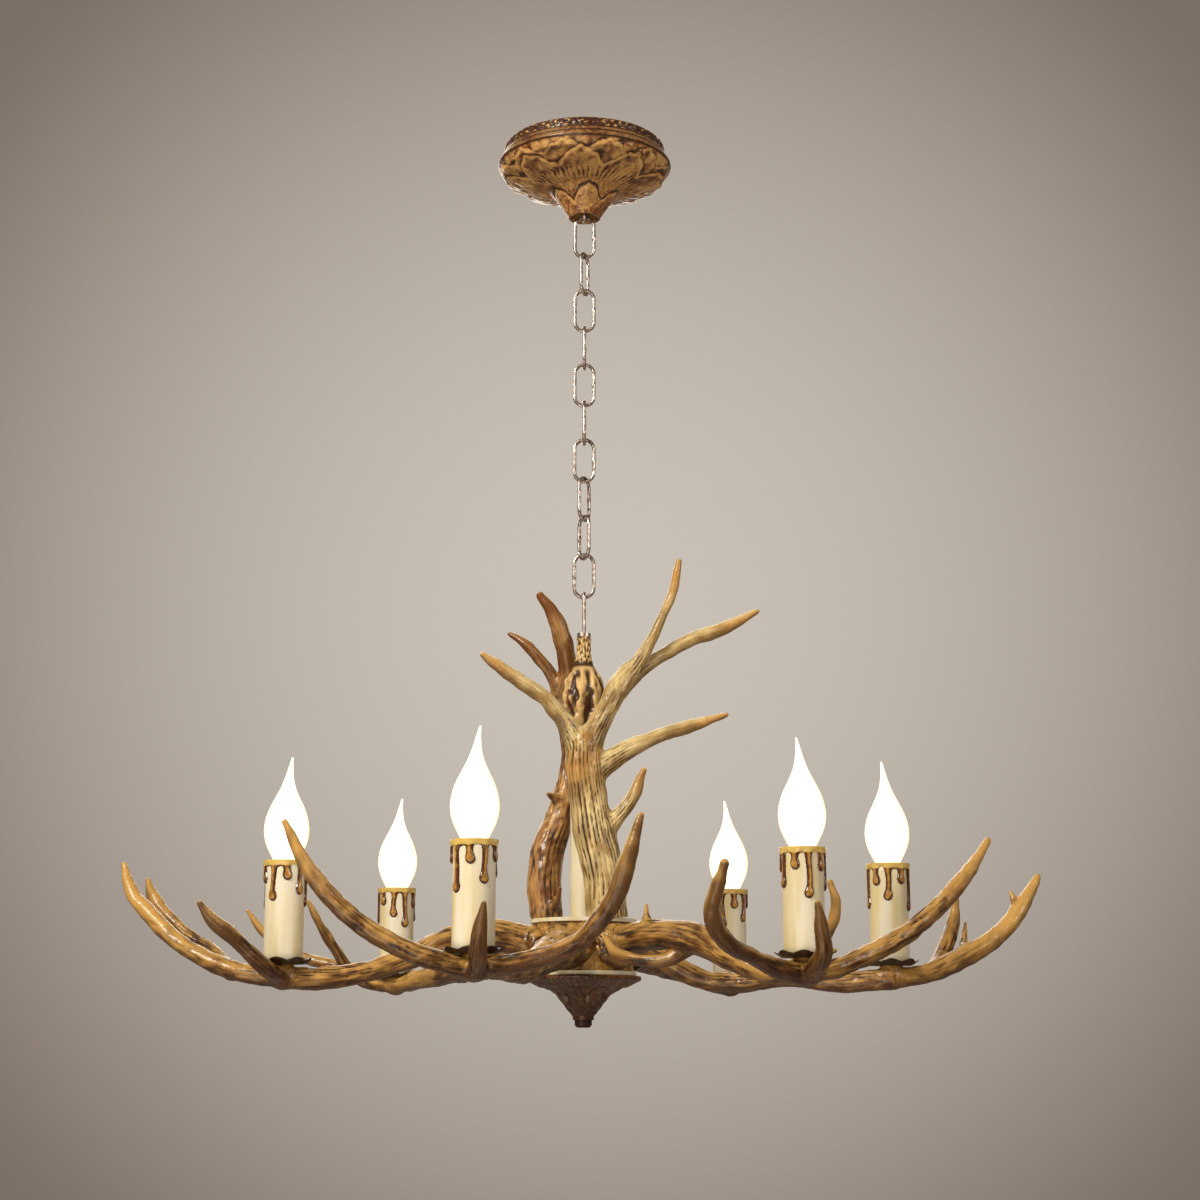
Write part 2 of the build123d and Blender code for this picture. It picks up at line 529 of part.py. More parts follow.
def make_wire_connectors():
    """Two closed crimp caps for the lamp wires, lying on the drum's floor."""
    caps = []
    for side in (-1, 1):
        caps.append(Pos(side * CONNECTOR_RADIUS, 0, DRUM_FOOT_Z + CONNECTOR_R) * Rot(90, 0, 0) * Cylinder(
            CONNECTOR_R, CONNECTOR_LENGTH))
    return Compound(children=caps)


# ---------------------------------------------------------------- antlers


def seat_centre(antler):
    """The beam's centre under the candle."""
    x, y = antler["candle"]
    return Vector(x, y, SEAT_Z - antler["drop"])


def burr(antler):
    """The swollen rim of an antler's foot, hollowed to lie round the drum."""
    swelling = scale(Sphere(1), by=(BURR_DEPTH, BURR_WIDTH, BURR_HEIGHT))
    swelling = Rot(0, 0, antler["bearing"]) * Pos(HUB_R, 0, DRUM_MID_Z) * swelling
    return swelling - rod(HUB_R + LOOSE, DRUM_FOOT_Z, DRUM_TOP_Z)


def seat_clearance(antler):
    """The room that the drip pan takes: nothing of the antler reaches into it."""
    x, y = antler["candle"]
    high = SEAT_Z + 3 * PAN_RISE
    room = turned([(0, SEAT_Z), (PAN_FOOT_R + LOOSE, SEAT_Z), (PAN_R + 2 * LOOSE, SEAT_Z + PAN_RISE - LOOSE),
                   (PAN_R + 2 * LOOSE, high), (0, high)])
    return Pos(x, y, 0) * room


def beam_points(antler):
    """The beam from the drum to just past the candle."""
    foot = seat_frame(antler["bearing"], DRUM_MID_Z + antler["foot"])
    seat = seat_centre(antler)
    way = seat - foot.origin
    across = Vector(-way.Y, way.X, 0).normalized()
    points = [(*foot.origin, antler["foot_r"])]
    for share, bend, rise, radius in antler["beam"]:
        spot = foot.origin + way * share + across * bend + Vector(0, 0, rise)
        points.append((*spot, radius))
    points.append((*seat, antler["seat_r"]))
    points += [(seat.X + x, seat.Y + y, seat.Z + z, r) for x, y, z, r in antler["tines"].get("long", ())[1:]]
    return points, foot.z_dir


def make_antler(antler):
    points, outward = beam_points(antler)
    seat = seat_centre(antler)
    trunk = branch(points, start=outward)
    trunk += rod(SEAT_BOSS_R, seat.Z, SEAT_Z, seat.X, seat.Y)
    tines = [branch([(seat.X + x, seat.Y + y, seat.Z + z, r) for x, y, z, r in tine])
             for name, tine in antler["tines"].items() if name != "long"]
    body = grow(trunk + burr(antler), tines)
    seat_face = seat_frame(antler["bearing"], DRUM_MID_Z + antler["foot"])
    body -= seat_face * Cylinder(BOLT_R + SLIP, 2 * BOLT_LENGTH)
    body -= seat_clearance(antler)
    return body - rod(CANDLE_NIPPLE_R + SLIP, SEAT_Z - CANDLE_NIPPLE_DEPTH - SLIP, SEAT_Z, seat.X, seat.Y)


def make_upright(upright):
    lift = [(x, y, HUB_TOP_Z + z, r) for x, y, z, r in upright["trunk"]]
    tines = [branch([(x, y, HUB_TOP_Z + z, r) for x, y, z, r in tine]) for tine in upright["tines"].values()]
    body = grow(branch(lift, start=Vector(0, 0, 1)), tines)
    x, y = upright["bolt"]
    return body - rod(BOLT_R + SLIP, HUB_TOP_Z, HUB_TOP_Z + BOLT_LENGTH, x, y)


# ---------------------------------------------------------------- candles


def make_drip_pan():
    """A shallow dish with a petalled edge, its foot on the seat."""
    lip_z = SEAT_Z + PAN_RISE
    dish = turned([
        (0, SEAT_Z), (PAN_FOOT_R, SEAT_Z), (PAN_R, lip_z), (PAN_R, lip_z + PAN_WALL), (PAN_FOOT_R, PAN_TOP_Z),
        (0, PAN_TOP_Z)])
    for petal in range(PAN_PETALS):
        notch = Rot(0, 0, (petal + 0.5) * 360 / PAN_PETALS) * Pos(PAN_R + PAN_PETAL_DIP, 0, 0)
        dish -= notch * rod(2 * PAN_PETAL_DIP, SEAT_Z, SEAT_Z + 2 * PAN_RISE)
    return dish - rod(CANDLE_NIPPLE_R + SLIP, SEAT_Z, PAN_TOP_Z)


def make_candle_nipple():
    return rod(CANDLE_NIPPLE_R, SEAT_Z - CANDLE_NIPPLE_DEPTH, PAN_TOP_Z + CANDLE_NIPPLE_DEPTH) - rod(
        NIPPLE_BORE_R, SEAT_Z - CANDLE_NIPPLE_DEPTH, PAN_TOP_Z + CANDLE_NIPPLE_DEPTH)


def make_lamp_holder():
    """A stem on the drip pan and a barrel whose socket takes the bulb's cap."""
    barrel_z = HOLDER_TOP_Z - HOLDER_BARREL_HEIGHT
    holder = rod(HOLDER_STEM_R, PAN_TOP_Z, barrel_z) + rod(HOLDER_R, barrel_z, HOLDER_TOP_Z)
    holder -= rod(CANDLE_NIPPLE_R + SLIP, PAN_TOP_Z, PAN_TOP_Z + CANDLE_NIPPLE_DEPTH + SLIP)
    socket_depth = CAP_LENGTH + CAP_CONTACT + LOOSE
    return holder - rod(CAP_R + LOOSE, HOLDER_TOP_Z - socket_depth, HOLDER_TOP_Z)


def make_sleeve():
    """A tube with a swollen rim and drips of wax down its side."""
    sleeve = rod(SLEEVE_R, PAN_TOP_Z, SLEEVE_TOP_Z)
    sleeve += rod(SLEEVE_R + RIM_SWELL, SLEEVE_TOP_Z - RIM_HEIGHT, SLEEVE_TOP_Z)
    for bearing, length in DRIPS:
        angle = math.radians(bearing)
        x = (SLEEVE_R - DRIP_R / 3) * math.cos(angle)
        y = (SLEEVE_R - DRIP_R / 3) * math.sin(angle)
        foot_z = SLEEVE_TOP_Z - length
        sleeve += rod(DRIP_R, foot_z, SLEEVE_TOP_Z - RIM_SWELL, x, y)
        sleeve += Pos(x, y, foot_z) * Sphere(DRIP_BEAD_R)
    return sleeve - rod(SLEEVE_R - SLEEVE_WALL, PAN_TOP_Z, SLEEVE_TOP_Z)


def lean_at(height, direction):
    """Sideways bend of the flame at a height above the rim."""
    if height <= GLASS_LEAN[0][0]:
        return 0.0
    for (low, a), (high, b) in zip(GLASS_LEAN, GLASS_LEAN[1:]):
        if height <= high:
            return direction * (a + (b - a) * (height - low) / (high - low))
    return direction * GLASS_LEAN[-1][1]


def flame(direction, inset, rings):
    """The flame's shape, drawn in by a wall, through circles at each height."""
    faces = []
    for height, radius in rings:
        centre = Pos(lean_at(height, direction), 0, SLEEVE_TOP_Z + height)
        faces.append(centre * Circle(radius - inset))
    return loft(faces)


def make_bulb_glass(direction):
    outer = flame(direction, 0.0, GLASS_PROFILE)
    hollow = [ring for ring in GLASS_PROFILE if ring[1] > 3 * GLASS_WALL]
    return outer - flame(direction, GLASS_WALL, hollow)


def make_bulb_cap():
    top = SLEEVE_TOP_Z + GLASS_PROFILE[0][0]
    shell = rod(CAP_R, top - CAP_LENGTH, top)
    return shell + rod(CAP_CONTACT_R, top - CAP_LENGTH - CAP_CONTACT, top - CAP_LENGTH)


# ---------------------------------------------------------------- write every piece

write("ceiling_bracket", make_ceiling_bracket())
write("canopy", make_canopy())
write("canopy_nipple", make_canopy_nipple())
write("canopy_lock_nut", make_canopy_lock_nut())
write("canopy_loop", make_canopy_loop())
write("terminal_block", make_terminal_block())

for number, turn in enumerate(LINK_TURNS, start=1):
    write(f"chain_link_{number:02d}", link(FIRST_LINK_TOP_Z - LINK_PITCH * (number - 1), turn))

write("stem_loop", make_stem_loop())
write("crown_cap", make_crown_cap())
write("centre_rod", make_centre_rod())
write("centre_tube", make_centre_tube())
write("hub_top_plate", make_hub_top_plate())
write("hub_drum", make_hub_drum())
write("hub_bottom_plate", make_hub_bottom_plate())
write("hub_bowl", make_hub_bowl())
write("finial_nut", make_finial_nut())
write("hub_bolts", make_hub_bolts())
write("wire_connectors", make_wire_connectors())

for place, upright in UPRIGHTS.items():
    write(f"upright_antler_{place}", make_upright(upright))

for place, antler in ANTLERS.items():
    write(f"antler_{place}", make_antler(antler))

pan, nipple, holder = make_drip_pan(), make_candle_nipple(), make_lamp_holder()
sleeve, cap = make_sleeve(), make_bulb_cap()
spots = [Pos(*antler["candle"], 0) for antler in ANTLERS.values()]
write("drip_pans", Compound(children=[spot * pan for spot in spots]))
write("candle_nipples", Compound(children=[spot * nipple for spot in spots]))
write("lamp_holders", Compound(children=[spot * holder for spot in spots]))
for place, spot in zip(ANTLERS, spots):
    inwards = 1 if ANTLERS[place]["candle"][0] < 0 else -1
    write(f"candle_sleeve_{place}", spot * Rot(0, 0, ANTLERS[place]["bearing"]) * sleeve)
    write(f"bulb_glass_{place}", spot * make_bulb_glass(inwards))
    write(f"bulb_cap_{place}", spot * cap)
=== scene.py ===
"""Looks of a chandelier of cast antlers: surfaces, finishes, lamps and camera that dress its solid model.

Lengths in the shape functions are millimetres; skin() turns them into Blender's metres.
"""

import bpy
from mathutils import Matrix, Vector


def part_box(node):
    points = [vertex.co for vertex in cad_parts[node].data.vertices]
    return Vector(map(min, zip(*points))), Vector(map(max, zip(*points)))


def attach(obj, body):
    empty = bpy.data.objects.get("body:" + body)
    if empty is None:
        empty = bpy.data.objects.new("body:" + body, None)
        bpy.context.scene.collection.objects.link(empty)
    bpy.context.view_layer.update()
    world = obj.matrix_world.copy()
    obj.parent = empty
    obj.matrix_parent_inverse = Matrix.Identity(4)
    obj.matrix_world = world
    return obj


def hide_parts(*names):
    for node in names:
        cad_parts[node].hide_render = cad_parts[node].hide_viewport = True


bl_info = {
    "name": "Antler chandelier",
    "version": (1, 0, 0),
    "blender": (4, 5, 0),
    "location": "View3D > Sidebar > Antler chandelier",
    "description": "Builds the antlers, candles, canopy and chain of a rustic chandelier",
    "category": "Object",
}

import math

import bpy
import numpy as np

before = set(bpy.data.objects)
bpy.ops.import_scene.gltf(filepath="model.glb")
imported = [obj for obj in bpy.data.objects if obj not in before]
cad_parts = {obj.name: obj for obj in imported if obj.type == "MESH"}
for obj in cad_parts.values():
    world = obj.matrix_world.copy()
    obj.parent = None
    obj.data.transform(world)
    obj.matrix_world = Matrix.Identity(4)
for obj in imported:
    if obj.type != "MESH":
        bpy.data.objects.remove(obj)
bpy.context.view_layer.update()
MM = 0.001
TAU = 2 * math.pi


def low(node):
    """Lowest corner of a solid piece, in millimetres."""
    return np.array(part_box(node)[0]) / MM


def high(node):
    """Highest corner of a solid piece, in millimetres."""
    return np.array(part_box(node)[1]) / MM


PLACES = ("near_left", "near_right", "middle_right", "far_right", "far_left", "middle_left")
HUB_TOP = high("hub_top_plate")[2]
DRUM_LOW, DRUM_HIGH = low("hub_drum")[2], high("hub_drum")[2]
DRUM_MID = (DRUM_LOW + DRUM_HIGH) / 2
SEAT = low("drip_pans")[2]
HUB_R = high("hub_drum")[1]
FLAT_R = HUB_R - 1.5            # from the axis to the flats that the antlers are bolted to
CANDLE_LOW = low("candle_sleeve_near_left")[2]
CANDLE_HIGH = high("candle_sleeve_near_left")[2]
BOWL_HIGH, BOWL_LOW = high("hub_bowl")[2], low("hub_bowl")[2]
CROWN_HIGH, CROWN_LOW = high("crown_cap")[2], low("crown_cap")[2]


def candle_spot(place):
    """The candle's axis: the middle of its bulb's cap."""
    return (low(f"bulb_cap_{place}")[:2] + high(f"bulb_cap_{place}")[:2]) / 2


# ---- colours

def linear(code):
    """An sRGB hex colour as linear red, green, blue."""
    parts = [int(code[i:i + 2], 16) / 255 for i in (1, 3, 5)]
    return tuple(c / 12.92 if c <= 0.04045 else ((c + 0.055) / 1.055) ** 2.4 for c in parts)


def colour_prop(name, description, code):
    """A colour setting from an sRGB hex colour."""
    return bpy.props.FloatVectorProperty(
        name=name, description=description, subtype="COLOR", size=3, min=0, max=1, default=linear(code))


def length_prop(name, description, millimetres, lowest=0):
    """A length setting, given in millimetres and kept in metres, as its lowest value is."""
    return bpy.props.FloatProperty(
        name=name, description=description, subtype="DISTANCE", unit="LENGTH", min=lowest,
        default=millimetres * MM)


class AntlerSettings(bpy.types.PropertyGroup):
    """Surface of the cast antlers."""
    groove_depth: length_prop("Groove depth", "Depth of the long grooves in the beams", 1.0)
    groove_pitch: length_prop("Groove pitch", "Distance round the front antler from groove to groove", 3.6)
    bark: length_prop("Bark", "Width of the ridges on the other antlers", 6.5)
    detail: length_prop("Detail", "Size of the faces on an antler", 0.95)
    # The ridge colours are also painted on the upper side of the antlers as a painted highlight.
    pale: colour_prop("Pale ridge", "Rubbed ridges of the front upright antler", "#efd79c")
    pale_body: colour_prop("Pale body", "Body colour of the front upright antler", "#b48c4e")
    gold: colour_prop("Golden ridge", "Rubbed ridges of the spreading antlers", "#cfa056")
    gold_body: colour_prop("Golden body", "Body colour of the spreading antlers", "#693c14")
    brown: colour_prop("Brown ridge", "Rubbed ridges of the rear upright antler", "#cf9f60")
    brown_body: colour_prop("Brown body", "Body colour of the rear upright antler", "#78461b")
    # Mixed with the body colour, the stain is also the painted shade on the antlers' undersides.
    stain: colour_prop("Stain", "Dark stain left in the grooves and underneath", "#2b1206")
    tip: colour_prop("Tip", "Polished tips of the tines", "#c58d42")


class CanopySettings(bpy.types.PropertyGroup):
    """Carved pieces of cast resin."""
    relief: length_prop("Relief", "Height of the carved leaves", 1.7)
    ridge: colour_prop("Leaf edge", "Rubbed edges of the leaves", "#d9a964")
    body: colour_prop("Leaf", "Body colour of the leaves", "#874c28")
    # This stain colour also gives the painted shadow just beyond each leaf's edge on the canopy.
    stain: colour_prop("Stain", "Dark stain between the leaves", "#341608")
    bowl_ridge: colour_prop("Bowl edge", "Rubbed edges of the bowl's leaves", "#7c5128")
    bowl_body: colour_prop("Bowl", "Body colour of the bowl", "#321605")
    crown_ridge: colour_prop("Crown edge", "Rubbed flutes of the crown", "#ecc987")
    crown_body: colour_prop("Crown", "Body colour of the crown", "#955c22")


class CandleSettings(bpy.types.PropertyGroup):
    """Candle sleeves, their wax and the bulbs."""
    sleeve_radius: length_prop("Sleeve radius", "Outside radius of a candle sleeve", 15.5)
    sleeve_wall: length_prop("Sleeve wall", "Wall of a candle sleeve", 1.3)
    drip_radius: length_prop("Drip radius", "Half the width of a drip of wax", 2.7)
    ivory: colour_prop("Ivory", "Candle sleeves and hub", "#e9dfc8")
    wax: colour_prop("Wax", "Golden glaze of the drips", "#c08a3a")
    wax_rim: colour_prop("Wax rim", "Pale glaze round the sleeve's rim", "#dcb964")
    wax_dark: colour_prop("Wax shade", "Brown outline of the drips", "#4d2608")
    glow: colour_prop("Glow", "Light of the bulbs", "#fff6e4")
    glow_edge: colour_prop("Glow edge", "Outline of the lit bulbs", "#ffdf9c")
    brightness: bpy.props.FloatProperty(
        name="Brightness", description="Strength of the lit bulbs", min=0, max=20, default=2.2)
    pan: colour_prop("Pan", "Dark bronze of the drip pans", "#4a3622")


class MetalSettings(bpy.types.PropertyGroup):
    """Chain, hardware and brass."""
    wire: length_prop("Wire radius", "Half the thickness of the link wire", 1.6)
    chain: colour_prop("Chain", "Antique bronze of the links", "#dccdc2")
    chain_dark: colour_prop("Chain shade", "Tarnish in the hollows of the links", "#33231c")
    zinc: colour_prop("Zinc", "Plated steel hardware", "#b9b9b4")
    brass: colour_prop("Brass", "Brass caps and nut", "#c9a052")


class StageSettings(bpy.types.PropertyGroup):
    """Camera, lights and background."""
    eye_distance: length_prop("Eye distance", "From the lamp's axis to the camera", 1796)
    eye_height: length_prop("Eye height", "Camera height against the ceiling", -781.6, lowest=-10)
    eye_tilt: bpy.props.FloatProperty(
        name="Eye tilt", description="How far the camera looks up", subtype="ANGLE", unit="ROTATION",
        default=math.radians(11.87))
    eye_across: length_prop("Eye across", "Camera's place to the right of the axis", 13.5, lowest=-10)
    lens: bpy.props.FloatProperty(
        name="Lens", description="Focal length on a 36 mm sensor, in millimetres", min=10, default=65.67)
    wall: colour_prop("Wall", "Lit middle of the background", "#cac1b6")
    wall_edge: colour_prop("Wall edge", "Background far from the lamp", "#7d7067")
    floor: colour_prop("Floor", "Pale floor far below the lamp", "#b9afa4")


# ---- meshes

def skin(name, grid, capped=False):
    """A mesh from rows of points: neighbours in a row and in the next row make a face, and each row
    closes on itself. The last row also joins the first, as on a ring, or else, when capped, a point in
    the middle of the first row and of the last row closes each end. A grid that comes out inside out, by
    its enclosed volume, is reversed. """
    rows, columns = grid.shape[:2]
    points = grid.reshape(-1, 3)
    row = np.arange(rows - 1 if capped else rows)[:, None]
    column = np.arange(columns)[None, :]
    here, above = row * columns, (row + 1) % rows * columns
    beside = (column + 1) % columns
    faces = np.stack([here + column, here + beside, above + beside, above + column], -1).reshape(-1, 4)
    a, b, c, d = (points[faces[:, k]] for k in range(4))
    inside_out = (a * (np.cross(b, c) + np.cross(c, d))).sum() < 0
    faces = (faces[:, ::-1] if inside_out else faces).tolist()
    if capped:
        ring = np.arange(columns)
        after = np.roll(ring, -1)
        centre = np.full(columns, len(points))
        far = (rows - 1) * columns
        fans = np.concatenate([np.stack([centre, after, ring], -1),
                               np.stack([centre + 1, ring + far, after + far], -1)])
        faces += (fans[:, ::-1] if inside_out else fans).tolist()
        points = np.concatenate([points, grid[:1].mean(1), grid[-1:].mean(1)])
    mesh = bpy.data.meshes.new(name)
    mesh.from_pydata((points * MM).tolist(), [], faces)
    mesh.polygons.foreach_set("use_smooth", np.ones(len(mesh.polygons), bool))
    mesh.update()
    return mesh


def taken(items, key, width=1, kind=np.float32):
    """One property of all the points, corners or faces of a mesh as an array."""
    values = np.empty(len(items) * width, kind)
    items.foreach_get(key, values)
    return values.reshape(-1, width) if width > 1 else values


def together(name, meshes):
    """Several meshes as one: their points, corners, faces and kept values follow one another."""
    counts = [(len(mesh.vertices), len(mesh.loops)) for mesh in meshes]
    before = np.cumsum([(0, 0)] + counts, axis=0)
    corners = [taken(mesh.loops, "vertex_index", kind=np.int32) + b[0] for mesh, b in zip(meshes, before)]
    starts = [taken(mesh.polygons, "loop_start", kind=np.int32) + b[1] for mesh, b in zip(meshes, before)]
    joined = bpy.data.meshes.new(name)
    joined.vertices.add(int(before[-1][0]))
    joined.loops.add(int(before[-1][1]))
    joined.polygons.add(sum(len(start) for start in starts))
    joined.vertices.foreach_set("co", np.concatenate([taken(m.vertices, "co", 3) for m in meshes]).ravel())
    joined.loops.foreach_set("vertex_index", np.concatenate(corners).astype(np.int32))
    joined.polygons.foreach_set("loop_start", np.concatenate(starts).astype(np.int32))
    joined.polygons.foreach_set("use_smooth", np.ones(len(joined.polygons), bool))
    joined.update(calc_edges=True)
    if "groove" in meshes[0].attributes:
        values = [taken(mesh.attributes["groove"].data, "value") for mesh in meshes]
        store(joined, "groove", np.concatenate(values))
    return joined


def store(mesh, name, values):
    """Keep one value, or one vector, for each point of a mesh under a name that a material can read."""
    vector = values.ndim == 2
    attribute = mesh.attributes.new(name, "FLOAT_VECTOR" if vector else "FLOAT", "POINT")
    attribute.data.foreach_set("vector" if vector else "value", values.astype(np.float32).ravel())


def place(name, mesh, material, body, slot, *nodes):
    """Put a finished mesh into the scene: it rides on a body and stands for the solid pieces named."""
    piece = bpy.data.objects.new(name, mesh)
    bpy.context.scene.collection.objects.link(piece)
    mesh.materials.append(material)
    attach(piece, body)
    if nodes:
        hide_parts(*nodes)
    return piece


def waves(points, size, seed, count=9):
    """Smooth noise of about -1 to 1: a sum of sines along random directions, with wavelengths near size."""
    rng = np.random.default_rng(seed)
    way = rng.normal(size=(points.shape[1], count))
    way *= TAU / size * rng.uniform(0.6, 1.6, count) / np.linalg.norm(way, axis=0)
    return np.sin(points @ way + rng.uniform(0, TAU, count)).sum(1) / math.sqrt(2 * count) * 1.2


def ease(value, start, end):
    """0 up to start, 1 from end on, and a smooth cubic between."""
    t = np.clip((value - start) / (end - start), 0, 1)
    return t * t * (3 - 2 * t)


def band(value, rise, full, fall, end):
    """1 from full to fall and 0 outside of rise and end."""
    return ease(value, rise, full) * (1 - ease(value, fall, end))


def bell(value, centre, width):
    """1 at the centre, falling off on both sides."""
    return np.exp(-((value - centre) / width) ** 2)


def around(radius, turn, height):
    """Points from a radius, an angle and a height."""
    return np.stack(np.broadcast_arrays(radius * np.cos(turn), radius * np.sin(turn), height), -1)


def smooth_path(points, step):
    """A cubic curve through points, and the way along it: at each point it takes the mean slope of the
    two spans beside it, weighted so that the shorter span counts more. Every number of a point, such as
    its radius, is carried the same way."""
    p = np.asarray(points, float)
    gaps = np.linalg.norm(np.diff(p[:, :3], axis=0), axis=1)[:, None]
    run = np.concatenate([[0], np.cumsum(gaps)])
    slope = np.diff(p, axis=0) / gaps
    share = gaps[:-1] / (gaps[:-1] + gaps[1:])
    tangent = np.concatenate([slope[:1], slope[:-1] * (1 - share) + slope[1:] * share, slope[-1:]])
    at = np.linspace(0, run[-1], max(3, int(run[-1] / step) + 1))
    k = np.clip(np.searchsorted(run, at, side="right") - 1, 0, len(gaps) - 1)
    h = gaps[k]
    u = ((at - run[k])[:, None]) / h
    curve = (p[k] * (1 + 2 * u) * (1 - u) ** 2 + p[k + 1] * u * u * (3 - 2 * u)
             + tangent[k] * h * u * (1 - u) ** 2 + tangent[k + 1] * h * u * u * (u - 1))
    return curve, at


# ---- antlers

SOFT = 1.6                  # how far an antler's limbs flow into each other
LINE_STEP = 2.0             # from point to point of a limb's centre line
THINNEST = 0.8              # smallest radius of a limb
TUBE_SIDES = 16
KNOB_SIDES, KNOB_ROWS = 24, 16
POLE = 0.12                 # angle at a knob's poles that its rows leave open
TINY = 1e-6                 # keeps a division away from zero
DRAWS, LONGEST_DRAW = 4, 3  # how often a point is drawn onto the soft surface, and how far each time
SQUASH = 0.09               # what a step along a limb counts against one round it
KNOB_SIZE = 14.0            # radius at which a knob's marks are laid out
FADING = 0.35               # share of a limb over which its grooves fade out
SWELLING, SWELLING_SIZE = 0.4, 17
BEADS, BEAD_SIZE = 0.22, 5.5
GRAIN, GRAIN_SIZE = 0.08, 4.5
PATCH_SIZE, STAIN_SIZE = 30, 22


class Limb:
    """A beam or a tine: its centre line, radius and a direction that follows the line without twisting.
    bare is the share of its length at which the grooves begin to fade, grooves how strong they are, and
    shade how much painted shade is added to darken it."""

    def __init__(self, points, bare, grooves=1.0, shade=0.0):
        curve, self.run = smooth_path(points, LINE_STEP)
        self.centre, self.radius = curve[:, :3], np.maximum(curve[:, 3], THINNEST)
        along = np.gradient(self.centre, axis=0)
        self.along = along / np.linalg.norm(along, axis=1)[:, None]
        upright = abs(self.along[0, 2]) >= 0.8
        side = np.array([0.0, -1.0, 0.0] if upright else [0.0, 0.0, 1.0])
        sides = []
        for way in self.along:
            side = side - way * side.dot(way)
            side = side / np.linalg.norm(side)
            sides.append(side)
        self.side = np.array(sides)
        self.other = np.cross(self.along, self.side)
        self.bare, self.grooves, self.shade = bare, grooves, shade
        self.half_step = self.run[1] / 2

    def tube(self):
        """Circles round the centre line, with the end drawn out by the end's own radius."""
        turn = np.linspace(0, TAU, TUBE_SIDES, endpoint=False)
        ring = np.cos(turn)[:, None, None] * self.side + np.sin(turn)[:, None, None] * self.other
        grid = (self.centre + ring * self.radius[:, None]).transpose(1, 0, 2)
        end = self.radius[-1]
        tip = self.centre[-1] + self.along[-1] * end * 0.7 + ring[:, -1] * end * 0.6
        return np.concatenate([grid, tip[None]])

    def field(self, points):
        """Distance outside the limb's skin, direction away from its centre line, angle round it and way
        along."""
        gap = -2 * points @ self.centre.T + (self.centre ** 2).sum(1)
        near = gap.argmin(1)
        away = points - self.centre[near]
        slide = (away * self.along[near]).sum(1)
        slide = np.clip(slide, np.where(near == 0, 0, -self.half_step),
                        np.where(near == len(self.run) - 1, 0, self.half_step))
        away = away - self.along[near] * slide[:, None]
        reach = np.linalg.norm(away, axis=1) + TINY
        run = self.run[near] + slide
        size = np.interp(run, self.run, self.radius)
        angle = np.arctan2((away * self.other[near]).sum(1), (away * self.side[near]).sum(1))
        return reach - size, away / reach[:, None], angle, run


class Knob:
    """An ellipsoid for the swollen burr round an antler's foot: centre, a turned set of axes and half
    sizes."""

    def __init__(self, centre, bearing, sizes):
        c, s = math.cos(bearing), math.sin(bearing)
        self.centre, self.sizes = np.array(centre, float), np.array(sizes, float)
        self.axes = np.array([[c, s, 0], [-s, c, 0], [0, 0, 1]])

    def tube(self):
        """Circles of latitude from pole to pole."""
        latitude, turn = np.meshgrid(np.linspace(POLE, math.pi - POLE, KNOB_ROWS),
                                     np.linspace(0, TAU, KNOB_SIDES, endpoint=False), indexing="ij")
        across = np.sin(latitude)
        ball = np.stack([np.cos(latitude), across * np.cos(turn), across * np.sin(turn)], -1)
        return self.centre + ball * self.sizes @ self.axes

    def field(self, points):
        """Like a limb's: the distance is the scaled radius less one, over its own steepness."""
        local = (points - self.centre) @ self.axes.T
        scaled = local / self.sizes
        reach = np.linalg.norm(scaled, axis=1) + TINY
        steep = scaled / self.sizes / reach[:, None]
        steepness = np.linalg.norm(steep, axis=1) + TINY
        away = (steep / steepness[:, None]) @ self.axes
        angle = np.arctan2(local[:, 2], local[:, 1])
        return (reach - 1) / steepness, away, angle, np.linalg.norm(local[:, 1:], axis=1)


def blend_fields(points, parts):
    """Limbs and knobs as one soft surface: distances are joined by minus SOFT times the log of the summed
    exponentials, so that a crotch is filled, and directions by the same shares."""
    fields = [part.field(points) for part in parts]
    gaps = np.stack([f[0] for f in fields])
    nearest = gaps.min(0)
    shares = np.exp(-(gaps - nearest) / SOFT)
    total = shares.sum(0)
    shares /= total
    normal = sum(share[:, None] * f[1] for share, f in zip(shares, fields))
    normal /= np.linalg.norm(normal, axis=1)[:, None] + TINY
    return nearest - SOFT * np.log(total), normal, shares, fields


def bark(line, width, seed):
    """Long, forking cracks between ridges, from 0 to 1: a bell curve round the zeros of smooth noise that is
    stretched along the antler, in a coarse and a fine size. line holds the way round and the way along."""
    coarse, fine = waves(line, width, seed, 12), waves(line, width * 0.45, seed + 1, 12)
    return np.clip(bell(coarse, 0, 0.15) + 0.7 * bell(fine, 0, 0.2), 0, 1)


def flutes(line, angle, count, seed):
    """Parallel grooves from 0 to 1: a high power of a cosine of the angle that drifts, broken up into
    dots."""
    drift = waves(line * [1, 1, 3], 40, seed)
    dots = 0.72 + 0.4 * waves(line * [1, 1, 8], 5, seed + 2)
    return (0.5 - 0.5 * np.cos(count * angle + 2.4 * drift)) ** 3.5 * np.clip(dots, 0.3, 1)


